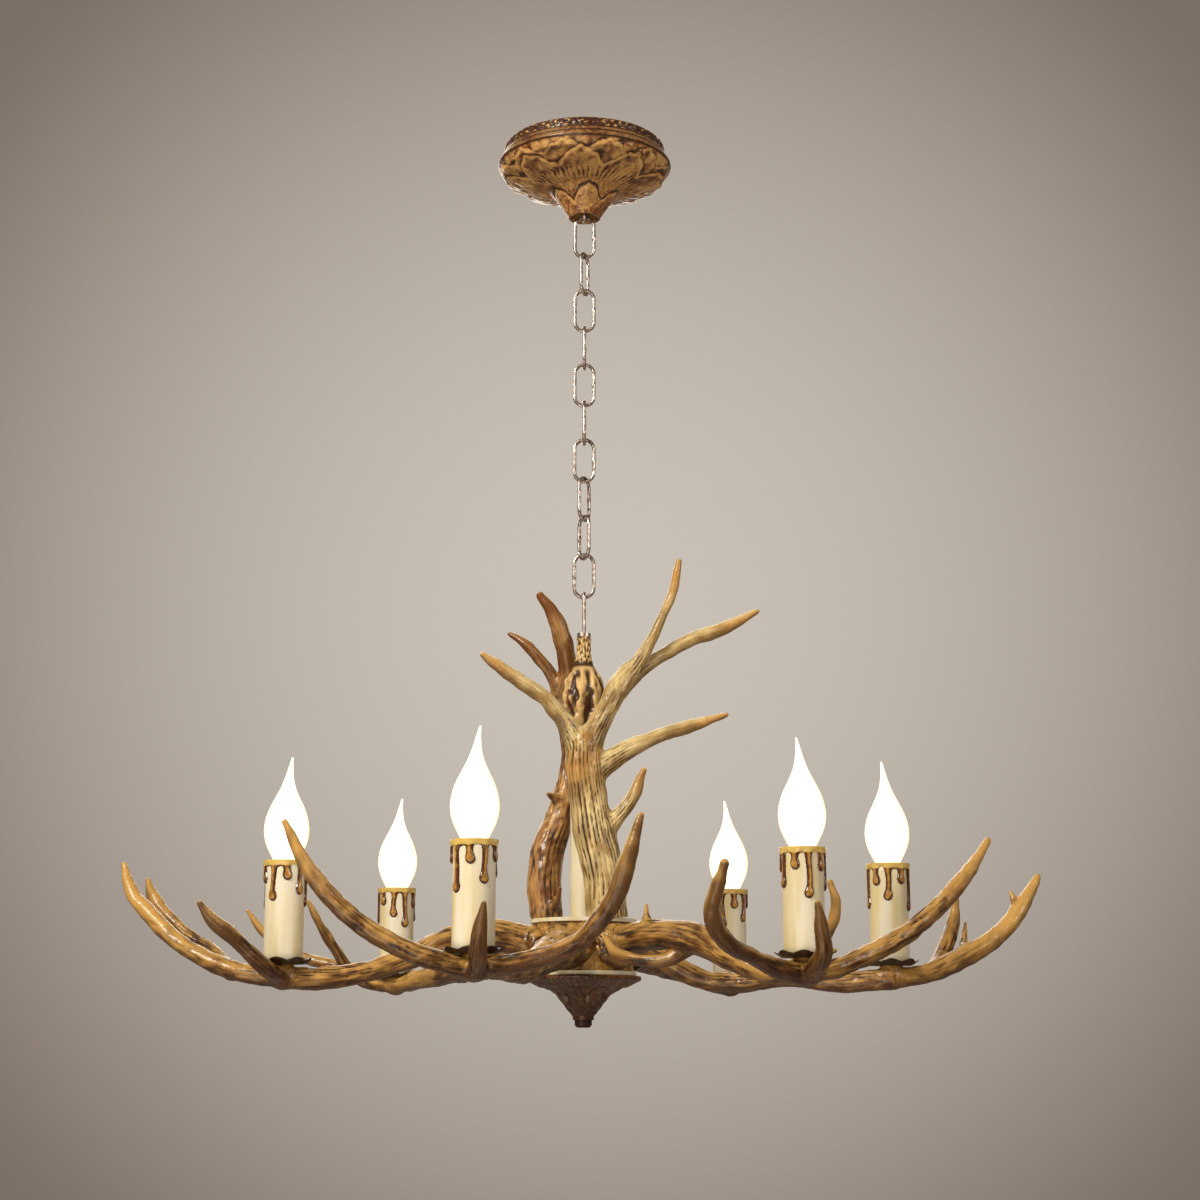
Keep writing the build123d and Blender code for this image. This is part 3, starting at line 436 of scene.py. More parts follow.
def cast_antler(name, limbs, knobs, trim, settings, seed, fluted=False):
    """One antler: its tubes are fused by a fine remesh, every point is drawn onto the soft surface in a few
    steps, and cracks or flutes, beads and swellings are pressed in along the surface's direction."""
    parts = limbs + knobs
    rough = together(name, [skin(name, part.tube(), capped=True) for part in parts])
    shape = bpy.data.objects.new(name, rough)
    bpy.context.scene.collection.objects.link(shape)
    remesh = shape.modifiers.new("fuse", "REMESH")
    remesh.mode = "VOXEL"
    remesh.voxel_size = settings.detail
    graph = bpy.context.evaluated_depsgraph_get()
    mesh = bpy.data.meshes.new_from_object(shape.evaluated_get(graph))
    bpy.data.objects.remove(shape)
    points = taken(mesh.vertices, "co", 3).astype(float) / MM
    for _ in range(DRAWS):
        gap, normal = blend_fields(points, parts)[:2]
        points = points - np.clip(gap, -LONGEST_DRAW, LONGEST_DRAW)[:, None] * normal
    _, normal, shares, fields = blend_fields(points, parts)
    groove, bare, bead, shade = (np.zeros(len(points)) for _ in range(4))
    flow = np.zeros((len(points), 3))
    crack = settings.bark / MM
    for number, (part, share, (_, _, angle, run)) in enumerate(zip(parts, shares, fields)):
        knob = isinstance(part, Knob)
        size = KNOB_SIZE if knob else np.interp(run, part.run, part.radius)
        line = np.stack([np.cos(angle) * size, np.sin(angle) * size, run * SQUASH], 1)
        if knob:
            fade = 0.8
            mark = bark(points * [1, 1, 0.6], crack * 1.5, seed)
        else:
            done = run / part.run[-1]
            fade = (1 - ease(done, part.bare, part.bare + FADING)) * part.grooves
            bare += share * ease(done, 0.5, 0.95)
            shade += share * part.shade
            pitch = settings.groove_pitch / MM * (1 if fluted else 1.15)
            mark = flutes(line, angle, max(7, round(TAU * part.radius[0] / pitch)), seed + number)
        if not knob and not fluted:
            mark = (0.75 * mark * (0.6 + 0.5 * waves(line, 16, seed + number))
                    + 0.45 * bark(line, crack * 1.4, seed + 5 * number))
        groove += share * mark * fade
        bead += share * fade * waves(line * [1, 1, 4], BEAD_SIZE, seed + 40)
        flow += share[:, None] * line
    strength = np.clip(0.75 + 0.5 * waves(points, PATCH_SIZE, seed), 0.25, 1.1)
    groove = np.clip(groove * strength, 0, 1)
    height = (SWELLING * waves(points, SWELLING_SIZE, seed + 5) - settings.groove_depth / MM * groove
              + BEADS * bead * strength * (1 - groove) + GRAIN * waves(points, GRAIN_SIZE, seed + 7))
    points = trim(points + normal * height[:, None])
    mesh.vertices.foreach_set("co", (points * MM).ravel())
    mesh.polygons.foreach_set("use_smooth", np.ones(len(mesh.polygons), bool))
    rubbed = np.clip(bead, -0.35, 1) * strength * (1 - groove)
    # kept as "under": painted shade where the surface faces down and on the tines in SHADED, and a painted
    # highlight where it faces up; the last term varies it at random
    below = 0.45 - 0.6 * normal[:, 2] + shade + 0.14 * waves(points, STAIN_SIZE, seed + 9)
    store(mesh, "groove", np.clip(groove - 0.5 * rubbed, -1, 1))
    store(mesh, "tip", np.clip(bare, 0, 1))
    store(mesh, "under", np.clip(below, 0, 1))
    store(mesh, "flow", flow)
    mesh.update()
    return mesh


# The centre lines repeat those of the solid antlers. For each spreading antler: bearing on the drum, height
# of its foot, foot radius, depth of the centre line under the candle, radius there, the beam (share of the
# way, sideways bend, rise, radius), and the tines as right, back, up and radius from the beam's centre under
# the candle.
SPREADING = {
    "near_left": (252, -2, 15.0, 10, 8.0, (
        (0.12, 0, 0, 15.0), (0.3, 2, -4, 12.4), (0.55, 3, -8, 10.4), (0.8, 2, -3, 8.4)), {
        "left": ((0, 0, 0, 7.6), (-22, -11, 4, 7.5), (-60.5, -20, 19, 7.2), (-98, -27, 47.5, 6.8),
                 (-118, -33, 74, 5.1), (-131, -37, 100, 2.1)),
        "right": ((0, 0, 0, 7.6), (43, -25, 5, 7.2), (76, -43, 17, 6.6), (98, -60, 42, 6.8),
                  (110, -72, 74, 6.0), (118, -75, 100.5, 2.1)),
        "up": ((4, -10, -2, 7.0), (6, -39, 15, 6.4), (8, -48, 30, 4.6), (10, -55, 42, 1.7)),
    }),
    "near_right": (312, 2, 12.4, 10.5, 7.9, (
        (0.1, 0, 6, 12.4), (0.28, -4, 13, 11.8), (0.48, 0, 12, 12.4), (0.67, -6, 2.5, 9.8),
        (0.85, -4, -4, 8.4)), {
        "curl": ((-2, -4, -2, 7.2), (-25, -24, 3, 7.6), (-42, -46, 10, 5.7), (-59, -66, 17, 6.4),
                 (-70, -80, 29, 6.6), (-72, -89, 42, 6.0), (-67.5, -96, 58, 5.0), (-64, -102, 71, 2.9)),
        "up": ((3, -8, -2, 7.1), (11, -36, 15, 6.4), (9, -41, 30, 5.4), (6, -46, 48, 2.2)),
        "right": ((0, 0, 0, 7.2), (20, -4, 2, 7.2), (38, 5, 9, 7.3), (78, 26, 29, 7.5),
                  (101, 41, 46.5, 7.1), (121, 58, 65, 6.7), (139, 76, 85, 5.1), (154.5, 94, 106, 2.4)),
        "brow": ((-84, 84, 22, 6.4), (-95, 84, 14, 5.6), (-111, 88, 12, 5.2), (-127, 94, 15, 4.8),
                 (-139, 102, 20, 4.0), (-146, 110, 30, 2.4)),
        "knob": ((-111, 108, 37, 4.4), (-114, 107, 47, 3.2), (-114, 107, 56.5, 1.1)),
    }),
    "middle_right": (12, 1, 10.8, 10, 7.8, (
        (0.09, 0, -3, 9.8), (0.19, 0, -12.5, 8.8), (0.29, 0, -19.5, 8.0), (0.41, 0, -18, 7.6),
        (0.6, 0, -10.5, 6.3), (0.82, 0, -7.5, 8.5)), {
        "long": ((0, 0, 0, 7.7), (29, 1, 4, 7.7), (63, 5, 19, 8.4), (86.5, 11, 33, 7.5),
                 (105, 17, 51.5, 6.8), (117, 23, 69, 5.3), (126, 29, 83, 2.4)),
        "up": ((38, 4, 9, 6.8), (49, 24, 29, 6.5), (56, 34, 45, 5.6), (60, 39, 64, 3.0)),
        "spur": ((62, 6, 22, 4.4), (64, 30, 31, 3.4), (68, 44, 46, 1.6)),
        "nub": ((105, 18, 54, 4.0), (104, 20, 63, 2.8), (102, 21, 70, 1.5)),
    }),
    "far_right": (72, 2, 11.0, 6.5, 7.8, (
        (0.15, 4, 1, 10.6), (0.4, 8, 1.5, 9.8), (0.7, 6, 1, 8.6)), {
        "long": ((0, 0, 0, 7.8), (36, 24, 6.5, 7.6), (72, 37, 27, 6.6), (94, 26, 50, 5.3),
                 (101, 16, 73, 5.1), (95, 9, 95, 2.7)),
        "spur": ((74, 36, 28, 5.2), (88, 31, 31, 4.0), (100, 26, 33, 1.9)),
        "back": ((0, 2, 0, 7.6), (5, 42, 11, 6.8), (8, 62, 42, 5.2), (6, 70, 82, 2.1)),
    }),
    "far_left": (132, 1, 12.4, 6, 7.8, (
        (0.12, 0, 0, 13.4), (0.35, -4, 2, 13.2), (0.6, -6, 2, 11.8), (0.82, -4, 0.5, 9.4)), {
        "brow": ((67, -78, 9, 8.6), (71, -63, 32, 6.8), (73, -58, 58, 5.2), (72, -56, 80, 2.2)),
        "left": ((0, 0, 0, 7.6), (-28, 12, 3, 6.4), (-50, 12, 14.5, 6.2), (-82.5, 17, 23.5, 5.2),
                 (-110, 22, 36, 4.4), (-127, 22, 50.5, 3.6), (-140, 20, 68, 1.9)),
        "fork": ((-43, 11, 11, 5.6), (-54, -4, 30, 5.0), (-65, -16, 48, 4.2), (-78, -28, 73, 2.1)),
        "back": ((0, 2, 0, 7.6), (-5, 40, 9, 7.9), (-8, 62, 32, 7.0), (-9, 74, 62, 5.4), (-9, 78, 94, 2.1)),
    }),
    "middle_left": (192, 2, 12.4, 10, 7.9, (
        (0.1, 0, 8, 12.9), (0.2, 0, 14, 12.4), (0.34, 0, 12.5, 11.0), (0.5, 0, 3, 9.4),
        (0.68, 0, -4, 8.4), (0.85, 0, -4.5, 9.3)), {
        "long": ((0, 0, 0, 7.8), (-41, 4, 6, 7.6), (-70, 10, 18.5, 7.3), (-93, 16, 33.5, 6.9),
                 (-109, 22, 48.5, 6.7), (-128, 30, 70, 5.3), (-136, 36, 91, 2.5)),
        "back": ((-41, 5, 5, 6.4), (-61, 32, 23, 4.6), (-85, 46, 36, 5.2), (-105, 56, 54, 5.0),
                 (-117, 62, 68, 5.1), (-122, 66, 81, 2.3)),
        "front": ((0, -3, 0, 7.0), (-12, -36, 9, 6.4), (-29, -46, 26, 6.0), (-45, -58, 40, 5.4),
                  (-55, -66, 53, 2.2)),
    }),
}

# The upright antlers: trunk and tines as right, back, height above the hub's top face, radius.
UPRIGHT = {
    "front": (((19, -22.5, 0, 16.6), (16, -25.5, 38, 16.8), (8, -28, 70, 16.6), (4, -29, 95, 15.4),
               (0.5, -32, 122, 15.0), (0.5, -33, 141, 12.5)), (
        ((2, -32, 136, 12.0), (14.5, -31, 160, 9.0), (26, -25, 183, 8.9), (37.5, -17, 202, 7.9)),
        ((28, -22, 187, 8.0), (48, -18, 214, 5.7), (62, -18, 241, 3.9), (73, -20, 266, 3.8),
         (79, -22, 294, 2.7)),
        ((30, -20, 189, 7.8), (56, -5, 212, 5.6), (84.5, 2, 230, 5.8), (119, 8, 244, 5.4),
         (146, 12, 258.5, 2.3)),
        ((-1, -32, 134, 11.2), (-15, -38, 157, 7.8), (-31, -45, 175, 6.3), (-52.5, -52, 189, 6.0),
         (-68, -58, 199, 4.9), (-81, -62, 208, 2.6)),
        ((5, -30, 115, 11.5), (31, -26, 133, 8.4), (58, -20, 147, 5.9), (88, -14, 157, 5.3),
         (118, -8, 167.5, 2.0)),
        ((14, -26, 68, 9.4), (32.5, -28, 86.5, 5.9), (42.5, -30, 101.5, 5.2), (49, -32, 118, 2.5)),
    )),
    "rear": (((-30, 12, 0, 13.0), (-32.5, 15, 33, 14.0), (-29.5, 17, 58, 13.6), (-20.5, 19, 83, 12.2),
              (-13.5, 22, 113, 9.6), (-11, 26, 142, 8.0), (-16.5, 30, 172, 8.2), (-20, 28, 190, 8.2)), (
        ((-20, 29, 178, 8.2), (-14, 21, 205, 7.6), (-18, 15, 235, 8.0), (-27, 12, 258, 6.0),
         (-37, 10, 272, 3.1)),
        ((-19.5, 29, 176, 7.2), (-25.5, 24, 202, 5.2), (-37.5, 22, 219.5, 5.0), (-51, 24, 234, 4.2),
         (-63, 26, 242, 2.3)),
        ((-18, 18, 98, 5.0), (-25, 8, 101, 3.4), (-29, 3, 103, 1.9)),
        ((-27, 8, 10, 4.5), (-22, -3, 14, 3.4), (-19, -8, 25, 1.2)),
    )),
}

# Tines that get painted shade, as if they lay in shadow, darker than the rest, and by how much.
SHADED = {("near_left", "up"): 0.55, ("near_left", "right"): 0.3, ("near_right", "curl"): 0.25,
          ("near_right", "up"): 0.35, ("middle_left", "front"): 0.4, ("middle_right", "up"): 0.25}

BURR = (12, 22, 18)             # the burr's half sizes along the bearing, across it and upwards
# Room under a pan: radius of its flat foot, the rise beyond it, its edge, and how far up the room reaches.
PAN_FOOT, PAN_RISE, PAN_EDGE, PAN_ROOM = 17.2, 0.66, 23.1, 12
CLEAR = 0.05                    # air between an antler and the pan, and between it and the flat
DRUM_CLEAR = 0.15               # and between it and the drum's round side
SWOLLEN = ((0, 9.0), (0.5, 9.2))    # the boss under a pan: share of the way up from the centre line, radius
BOSS_TOP = 8.0                  # and its radius just below the pan
THROUGH = 2                     # as a limb's bare: its grooves go on to its end


def spreading_antler(name, settings, seed):
    """The beam runs from the drum's flat to the candle and the tines leave it there; the pan's room is kept
    free and the foot is cut to the drum."""
    bearing, foot, foot_r, drop, seat_r, beam, tines = SPREADING[name]
    angle = math.radians(bearing)
    out = np.array([math.cos(angle), math.sin(angle), 0])
    start = out * FLAT_R + [0, 0, DRUM_MID + foot]
    spot = candle_spot(name)
    seat = np.array([*spot, SEAT - drop])
    way = seat - start
    across = np.array([-way[1], way[0], 0]) / math.hypot(way[0], way[1])

    def tine_line(tine):
        """A tine's points from its places against the seat."""
        return [(*(seat + [x, y, z]), r) for x, y, z, r in tine]

    points = [(*start, foot_r)]
    points += [(*(start + way * share + across * bend + [0, 0, rise]), r) for share, bend, rise, r in beam]
    points += [(*seat, seat_r), *tine_line(tines.get("long", ())[1:])]
    limbs = [Limb(points, bare=0.62 if "long" in tines else THROUGH)]
    # shade: how much painted shade darkens each tine listed in SHADED
    limbs += [Limb(tine_line(tine), bare=0.5, shade=SHADED.get((name, key), 0))
              for key, tine in tines.items() if key != "long"]
    boss = [(*(seat + [0, 0, drop * share]), r) for share, r in SWOLLEN]
    limbs.append(Limb([*boss, (*spot, SEAT - 1, BOSS_TOP)], bare=THROUGH, grooves=0.3))
    knob = Knob(out * HUB_R + [0, 0, DRUM_MID], angle, BURR)

    def trim(p):
        """Flatten the top under the pan: inside the pan's edge nothing is higher than its underside. Keep
        the foot outside the drum: its face is the flat, or the drum's round side where that is nearer to
        the axis."""
        p = p.copy()
        reach = np.hypot(p[:, 0] - spot[0], p[:, 1] - spot[1])
        roof = SEAT + np.clip(reach - PAN_FOOT, 0, None) * PAN_RISE
        inside = (reach < PAN_EDGE) & (p[:, 2] > roof) & (p[:, 2] < SEAT + PAN_ROOM)
        p[inside, 2] = roof[inside] - CLEAR
        lateral = p[:, 1] * out[0] - p[:, 0] * out[1]
        forward = p[:, 0] * out[0] + p[:, 1] * out[1]
        side = np.sqrt(np.clip((HUB_R + DRUM_CLEAR) ** 2 - lateral ** 2, 0, None))
        push = np.clip(np.minimum(FLAT_R + CLEAR, side) - forward, 0, None)
        push[(p[:, 2] > DRUM_HIGH) | (p[:, 2] < DRUM_LOW) | (forward < 0)] = 0
        p[:, :2] += push[:, None] * out[:2]
        return p

    return cast_antler(name, limbs, [knob], trim, settings, seed)


def upright_antler(name, settings, seed):
    """The trunk stands on the hub's top face and the tines branch off it."""
    trunk, tines = UPRIGHT[name]
    rise = np.array([0, 0, HUB_TOP, 0])
    limbs = [Limb(np.array(trunk) + rise, bare=0.9)]
    # a long tine is smooth almost from its root
    limbs += [Limb(np.array(tine) + rise, bare=0.1 if len(tine) > 4 else 0.5) for tine in tines]

    def trim(p):
        """Nothing reaches below the hub's top face."""
        return np.column_stack([p[:, :2], np.maximum(p[:, 2], HUB_TOP)])

    return cast_antler(name, limbs, [], trim, settings, seed, fluted=name == "front")


# ---- turned and carved pieces

HIDDEN_STEP = 6.0       # from row to row where a turned piece doesn't show
SOFTENED = 2            # how often the corners that show are softened


def turned(name, outside, hidden, columns, step, relief):
    """A closed profile of (radius, height) points carried round the vertical axis: the points that show,
    with a row at each step and softened corners, and then the hidden ones. relief(angle, outer, radius,
    height) gives how far each point is pushed out along the profile's own normal and how dark the stain
    lies there; outer is 1 where the piece shows."""
    corners = np.array([*outside, *hidden, outside[0]], float)
    gaps = np.linalg.norm(np.diff(corners, axis=0), axis=1)
    run = np.concatenate([[0], np.cumsum(gaps)])
    shown = run[len(outside) - 1]
    at = np.unique(np.concatenate([np.arange(0, shown, step), np.arange(shown, run[-1], HIDDEN_STEP),
                                   run[:-1]]))
    radius, height = np.interp(at, run, corners[:, 0]), np.interp(at, run, corners[:, 1])
    for _ in range(SOFTENED):
        radius, height = (np.where(at < shown, (np.roll(line, 1) + 2 * line + np.roll(line, -1)) / 4, line)
                          for line in (radius, height))
    d_r, d_h = (np.roll(line, -1) - np.roll(line, 1) for line in (radius, height))
    length = np.hypot(d_r, d_h) + 1e-9
    area = (radius * np.roll(height, -1) - np.roll(radius, -1) * height).sum()
    out_r, out_h = np.sign(area) * d_h / length, -np.sign(area) * d_r / length
    turn = np.linspace(0, TAU, columns, endpoint=False)[None, :]
    push, stain = relief(turn, (at[:, None] < shown) * 1.0, radius[:, None], height[:, None])
    r = radius[:, None] + push * out_r[:, None]
    z = height[:, None] + push * out_h[:, None]
    mesh = skin(name, around(r, turn, z))
    store(mesh, "groove", np.clip(stain + 0 * turn + 0 * z, -1, 1).ravel())
    return mesh


def leaf_edge(angle, count, shift, tip, notch):
    """How far a ring of leaves reaches: to tip on a leaf's middle line and to notch between leaves, with
    small lobes along the edge."""
    phase = count * angle + shift
    lobes = 0.016 * np.cos(4 * phase) + 0.01 * np.sin(7 * phase + 1)
    return notch + (tip - notch) * (0.5 + 0.5 * np.cos(phase)) ** 0.6 + lobes


def noise_round(turn, radius, height, size, seed):
    """Smooth noise on a turned surface, from its points in space."""
    spots = around(radius, turn, height)
    return waves(spots.reshape(-1, 3), size, seed).reshape(spots.shape[:2])


# Bands of the canopy and the bowl as depths below the top: where each rises and where it falls off again.
ROPE, SMOOTH, LEAVES = (0.8, 1.8, 7.2, 8.2), (8, 9, 18, 19), (19.5, 21.5, 39.6, 40.6)
BOWL_RIM, BOWL_SIDE = (1.5, 3.5, 9, 11), (9, 11, 29, 31)
CANOPY_LINES = ((8.8, 0.7, 1.0), (13.6, 0.5, 0.8), (19.4, 0.8, 1.0))    # its grooves: depth, width, strength
# Rings of leaves as leaf_edge() takes them: how many, how far they are turned, and where they end and part.
FRONT_LEAVES, BACK_LEAVES = (8, 0.4, 0.78, 0.36), (11, 1.3, 0.97, 0.70)
NECK_LEAVES, BOWL_LEAVES = (5, 0.9, 0.86, 0.42), (7, 0.8, 0.95, 0.5)
LEAF_RUN = ((19, 1), (23, 0.93), (27, 0.84), (33, 0.5), (37, 0.22), (40, 0))    # depth and t of the canopy
NECK_HIGH, NECK_LONG = 40, 25
CANOPY_STRANDS, BOWL_STRANDS, FLUTES = 60, 54, 7


def carved_canopy(settings):
    """The canopy from ceiling to neck: a pebbled rope round its rim, a smooth band between dark grooves,
    broad leaves under it, each with a painted shadow in the dip just beyond its edge, fine strands towards
    the neck, and a leafy neck. Under the band t runs from 1 at its edge to 0 at the neck."""
    outside = [(68, 0), (70, -2.7), (70, -8), (71.3, -10), (72.9, -13), (75.2, -17), (75.5, -19),
               (74.2, -23), (71.5, -27), (58.5, -33), (44.5, -37), (32, -40.5), (27, -46), (21.5, -53),
               (16, -61), (13.8, -65)]
    hidden = [(12, -65), (12, -44), (5.1, -44), (5.1, -40), (16, -40), (27, -36), (54.5, -31), (71.5, -19),
              (64, -8), (64, 0)]
    deep = settings.relief / MM

    def relief(turn, outer, radius, height):
        """front, back and small are how far inside its ring of leaves a spot lies; beyond the edge of a leaf
        the surface drops at once and comes back, with a painted shadow in that dip, and along the edge the
        stain is rubbed off."""
        down = -height
        pebble = noise_round(turn, radius, height, 3.6, 11)
        cloud = noise_round(turn, radius, height, 13, 3)
        rope = outer * band(down, *ROPE)
        lines = outer * sum(strength * bell(down, at, width) for at, width, strength in CANOPY_LINES)
        t = np.interp(down, *zip(*LEAF_RUN)) + 0.03 * cloud
        under = outer * band(down, *LEAVES)
        front = leaf_edge(turn, *FRONT_LEAVES) - t
        back = leaf_edge(turn, *BACK_LEAVES) - t
        beyond = (front < 0) * 1.0
        # drop: the dip just beyond a leaf's edge; in the stain it is a painted shadow
        drop = np.clip(beyond * np.exp(np.minimum(front, 0) / 0.055)
                       + 0.8 * beyond * (back < 0) * np.exp(np.minimum(back, 0) / 0.03), 0, 1)
        rub = bell(front, 0.06, 0.04) + 0.8 * beyond * bell(back, 0.05, 0.035)
        strand = np.sin(CANOPY_STRANDS * turn + 1.5 * cloud) * bell(t, 0.12, 0.2)
        leaves = 0.6 * ease(front, -0.01, 0.05) + 0.4 * ease(back, -0.01, 0.04)
        neck = outer * ease(down, 40.2, 41.5)
        u = (down - NECK_HIGH) / NECK_LONG
        small = leaf_edge(turn, *NECK_LEAVES) - (1 - u) + 0.03 * cloud
        curl = np.clip(bell(small, -0.02, 0.045) + bell(np.sin(5 * cloud + 9 * u), 0, 0.16) * 0.6, 0, 1)
        push = (rope * (0.5 * pebble - 0.3) - 0.8 * lines
                + neck * (0.8 * ease(small, 0, 0.2) - 1.0 - 0.6 * curl)
                + under * (deep * (leaves - 1.0) - 0.6 * drop + 0.3 * strand + 0.5 * cloud))
        # 0.95 * drop: painted shadow beyond each leaf's edge
        stain = (rope * (0.8 - 0.9 * pebble) + 0.9 * lines
                 + neck * (0.8 * curl - 0.5 * bell(small, 0.09, 0.06))
                 + under * (0.95 * drop - 0.75 * rub - 0.5 * strand - 0.3 * cloud)
                 + 0.3 * outer * band(down, *SMOOTH))
        return push, stain

    return turned("canopy_carved", outside, hidden, 540, 0.9, relief)


def carved_bowl(settings):
    """The bowl under the hub: leaves down its side, finer strands round the rim, and a narrow foot."""
    z = BOWL_HIGH
    outside = [(47, z), (47, z - 3.5), (34, z - 10), (23, z - 15), (17.5, z - 21), (13, z - 27),
               (10.6, z - 30), (8.6, z - 32), (8.6, BOWL_LOW)]
    hidden = [(4.6, BOWL_LOW), (4.6, z)]

    def relief(turn, outer, radius, height):
        """edge is how far inside its leaf a spot lies, in shares of the bowl's side."""
        down = z - height
        cloud = noise_round(turn, radius, height, 9, 5)
        edge = leaf_edge(turn, *BOWL_LEAVES) - (1 - np.clip((down - 9) / 19, 0, 1))
        side = outer * band(down, *BOWL_SIDE)
        rim = outer * band(down, *BOWL_RIM)
        crack = bell(edge, 0, 0.045)
        strand = np.sin(BOWL_STRANDS * turn + 2 * cloud)
        push = (side * (1.5 * ease(edge, 0, 0.3) - 1.6 - 0.6 * crack + 0.5 * cloud)
                + rim * (0.35 * strand - 0.4))
        stain = side * (0.8 * crack + 0.25) + rim * (0.35 - 0.3 * strand) + outer * 0.3 * ease(down, 29, 31)
        return push, stain

    return turned("carved_bowl", outside, hidden, 320, 0.8, relief)


def fluted_crown():
    """The crown: a slim pitted neck, a dark collar, and flutes that hang like drops below it."""
    top, foot = CROWN_HIGH, CROWN_LOW
    outside = [(5.8, top), (5.9, top - 17), (8.6, top - 24), (11.5, top - 30), (15.5, top - 37),
               (18.6, top - 46), (19, top - 52), (17.4, top - 66), (15.2, top - 78), (13.5, foot)]
    hidden = [(4.7, foot), (4.7, top)]

    def relief(turn, outer, radius, height):
        """Pits on the neck, a groove for the collar, and for the flutes a cosine of a wavering angle."""
        down = top - height
        neck = outer * (1 - ease(down, 20, 24))
        drops = outer * ease(down, 26, 34)
        cloud = noise_round(turn, radius, height, 9, 61)
        flute = np.cos(FLUTES * turn + 1.1 * cloud + 0.5 * np.sin(down / 9))
        pits = noise_round(turn, radius, height * 0.5, 3.2, 66)
        collar = outer * bell(down, 23.5, 2.2)
        push = neck * 0.4 * pits + drops * (1.2 * flute + 0.5 * cloud - 1.0) - 0.5 * collar
        return push, neck * (0.1 - 0.7 * pits) + drops * (0.15 - 0.7 * flute - 0.35 * cloud) + 0.9 * collar

    return turned("fluted_crown", outside, hidden, 144, 0.9, relief)


# ---- chain

LINK_LENGTH, LINK_WIDTH = 40.0, 19.5
LINK_TURNS = (0, 70, 0, 90, 0, 90, 0, 60, 120, 180)     # degrees about the vertical, as the solid links
WELD, WELD_SIZE = 0.28, 2.2                             # how far the weld swells, and half its length


def link_skin(name, top, turn, wire, seed):
    """A round wire carried along a slot-shaped line: two straight sides joined by half circles. The wire
    swells a little at the weld in one side and is uneven by a fraction of its radius, as forged wire is.
    The line starts in the middle of a side: its direction turns by half a circle on each bend, while the
    bend's own centre stays where the straight has left it."""
    bend, half = LINK_WIDTH / 2 - wire, LINK_LENGTH / 2 - LINK_WIDTH / 2
    ends = np.cumsum([0, half, math.pi * bend, 2 * half, math.pi * bend, half])
    at = np.linspace(0, ends[-1], 132, endpoint=False)
    angle = np.interp(at, ends, [0, 0, math.pi, math.pi, TAU, TAU])
    out_x, out_z = np.cos(angle), np.sin(angle)
    x = bend * out_x
    z = np.interp(at, ends, [0, half, half, -half, -half, 0]) + bend * out_z
    marks = np.stack([x, z, 0 * x], 1)
    weld = WELD * (bell(at, 0, WELD_SIZE) + bell(at, ends[-1], WELD_SIZE))
    r = (wire * (0.97 + 0.035 * waves(marks, 7, seed)) + weld - 0.03)[:, None]
    across = np.linspace(0, TAU, 18, endpoint=False)
    local_x, local_y = x[:, None] + out_x[:, None] * np.cos(across) * r, np.sin(across) * r
    c, s = math.cos(math.radians(turn)), math.sin(math.radians(turn))
    level = z[:, None] + out_z[:, None] * np.cos(across) * r + top - LINK_LENGTH / 2
    mesh = skin(name, np.stack([local_x * c - local_y * s, local_x * s + local_y * c, level], -1))
    tarnish = 0.4 * waves(marks, 5, seed + 9)[:, None] - 0.5 * np.cos(across)
    store(mesh, "groove", np.clip(tarnish, 0, 1).ravel())
    return mesh


# ---- candles

# bearing and length of each drip of wax, as on the solid sleeves
DRIPS = ((10, 15), (50, 29), (92, 13), (133, 24), (172, 33), (212, 15), (250, 27), (292, 14), (330, 35))


def tube_skin(name, spot, outer, inner):
    """A candle sleeve as a plain tube with eased edges: its four-sided section carried round the axis."""
    edge = 0.3
    foot, top = CANDLE_LOW, CANDLE_HIGH
    section = [(outer, foot + edge), (outer, top - edge), (outer - edge, top), (inner + edge, top),
               (inner, top - edge), (inner, foot + edge), (inner + edge, foot), (outer - edge, foot)]
    rows = []
    for (r0, z0), (r1, z1) in zip(section, section[1:] + section[:1]):
        steps = np.linspace(0, 1, 12 if abs(z1 - z0) > 5 else 2, endpoint=False)[:, None]
        rows.append(np.hstack([r0 + (r1 - r0) * steps, z0 + (z1 - z0) * steps]))
    line = np.concatenate(rows)
    turn = np.linspace(0, TAU, 96, endpoint=False)
    return skin(name, around(line[:, :1], turn, line[:, 1:]) + [*spot, 0])


WAX_LENGTH = 42             # how far the wax skin reaches down the sleeve
WAX_BAND = 3.6              # mean height of the wax between two drips
WAX_SOFT = 1.4              # how far band and drips flow into each other
LIP_MIDDLE, LIP_HALF, LIP_THICK = 2.4, 3.2, 1.25    # the swollen lip at the rim


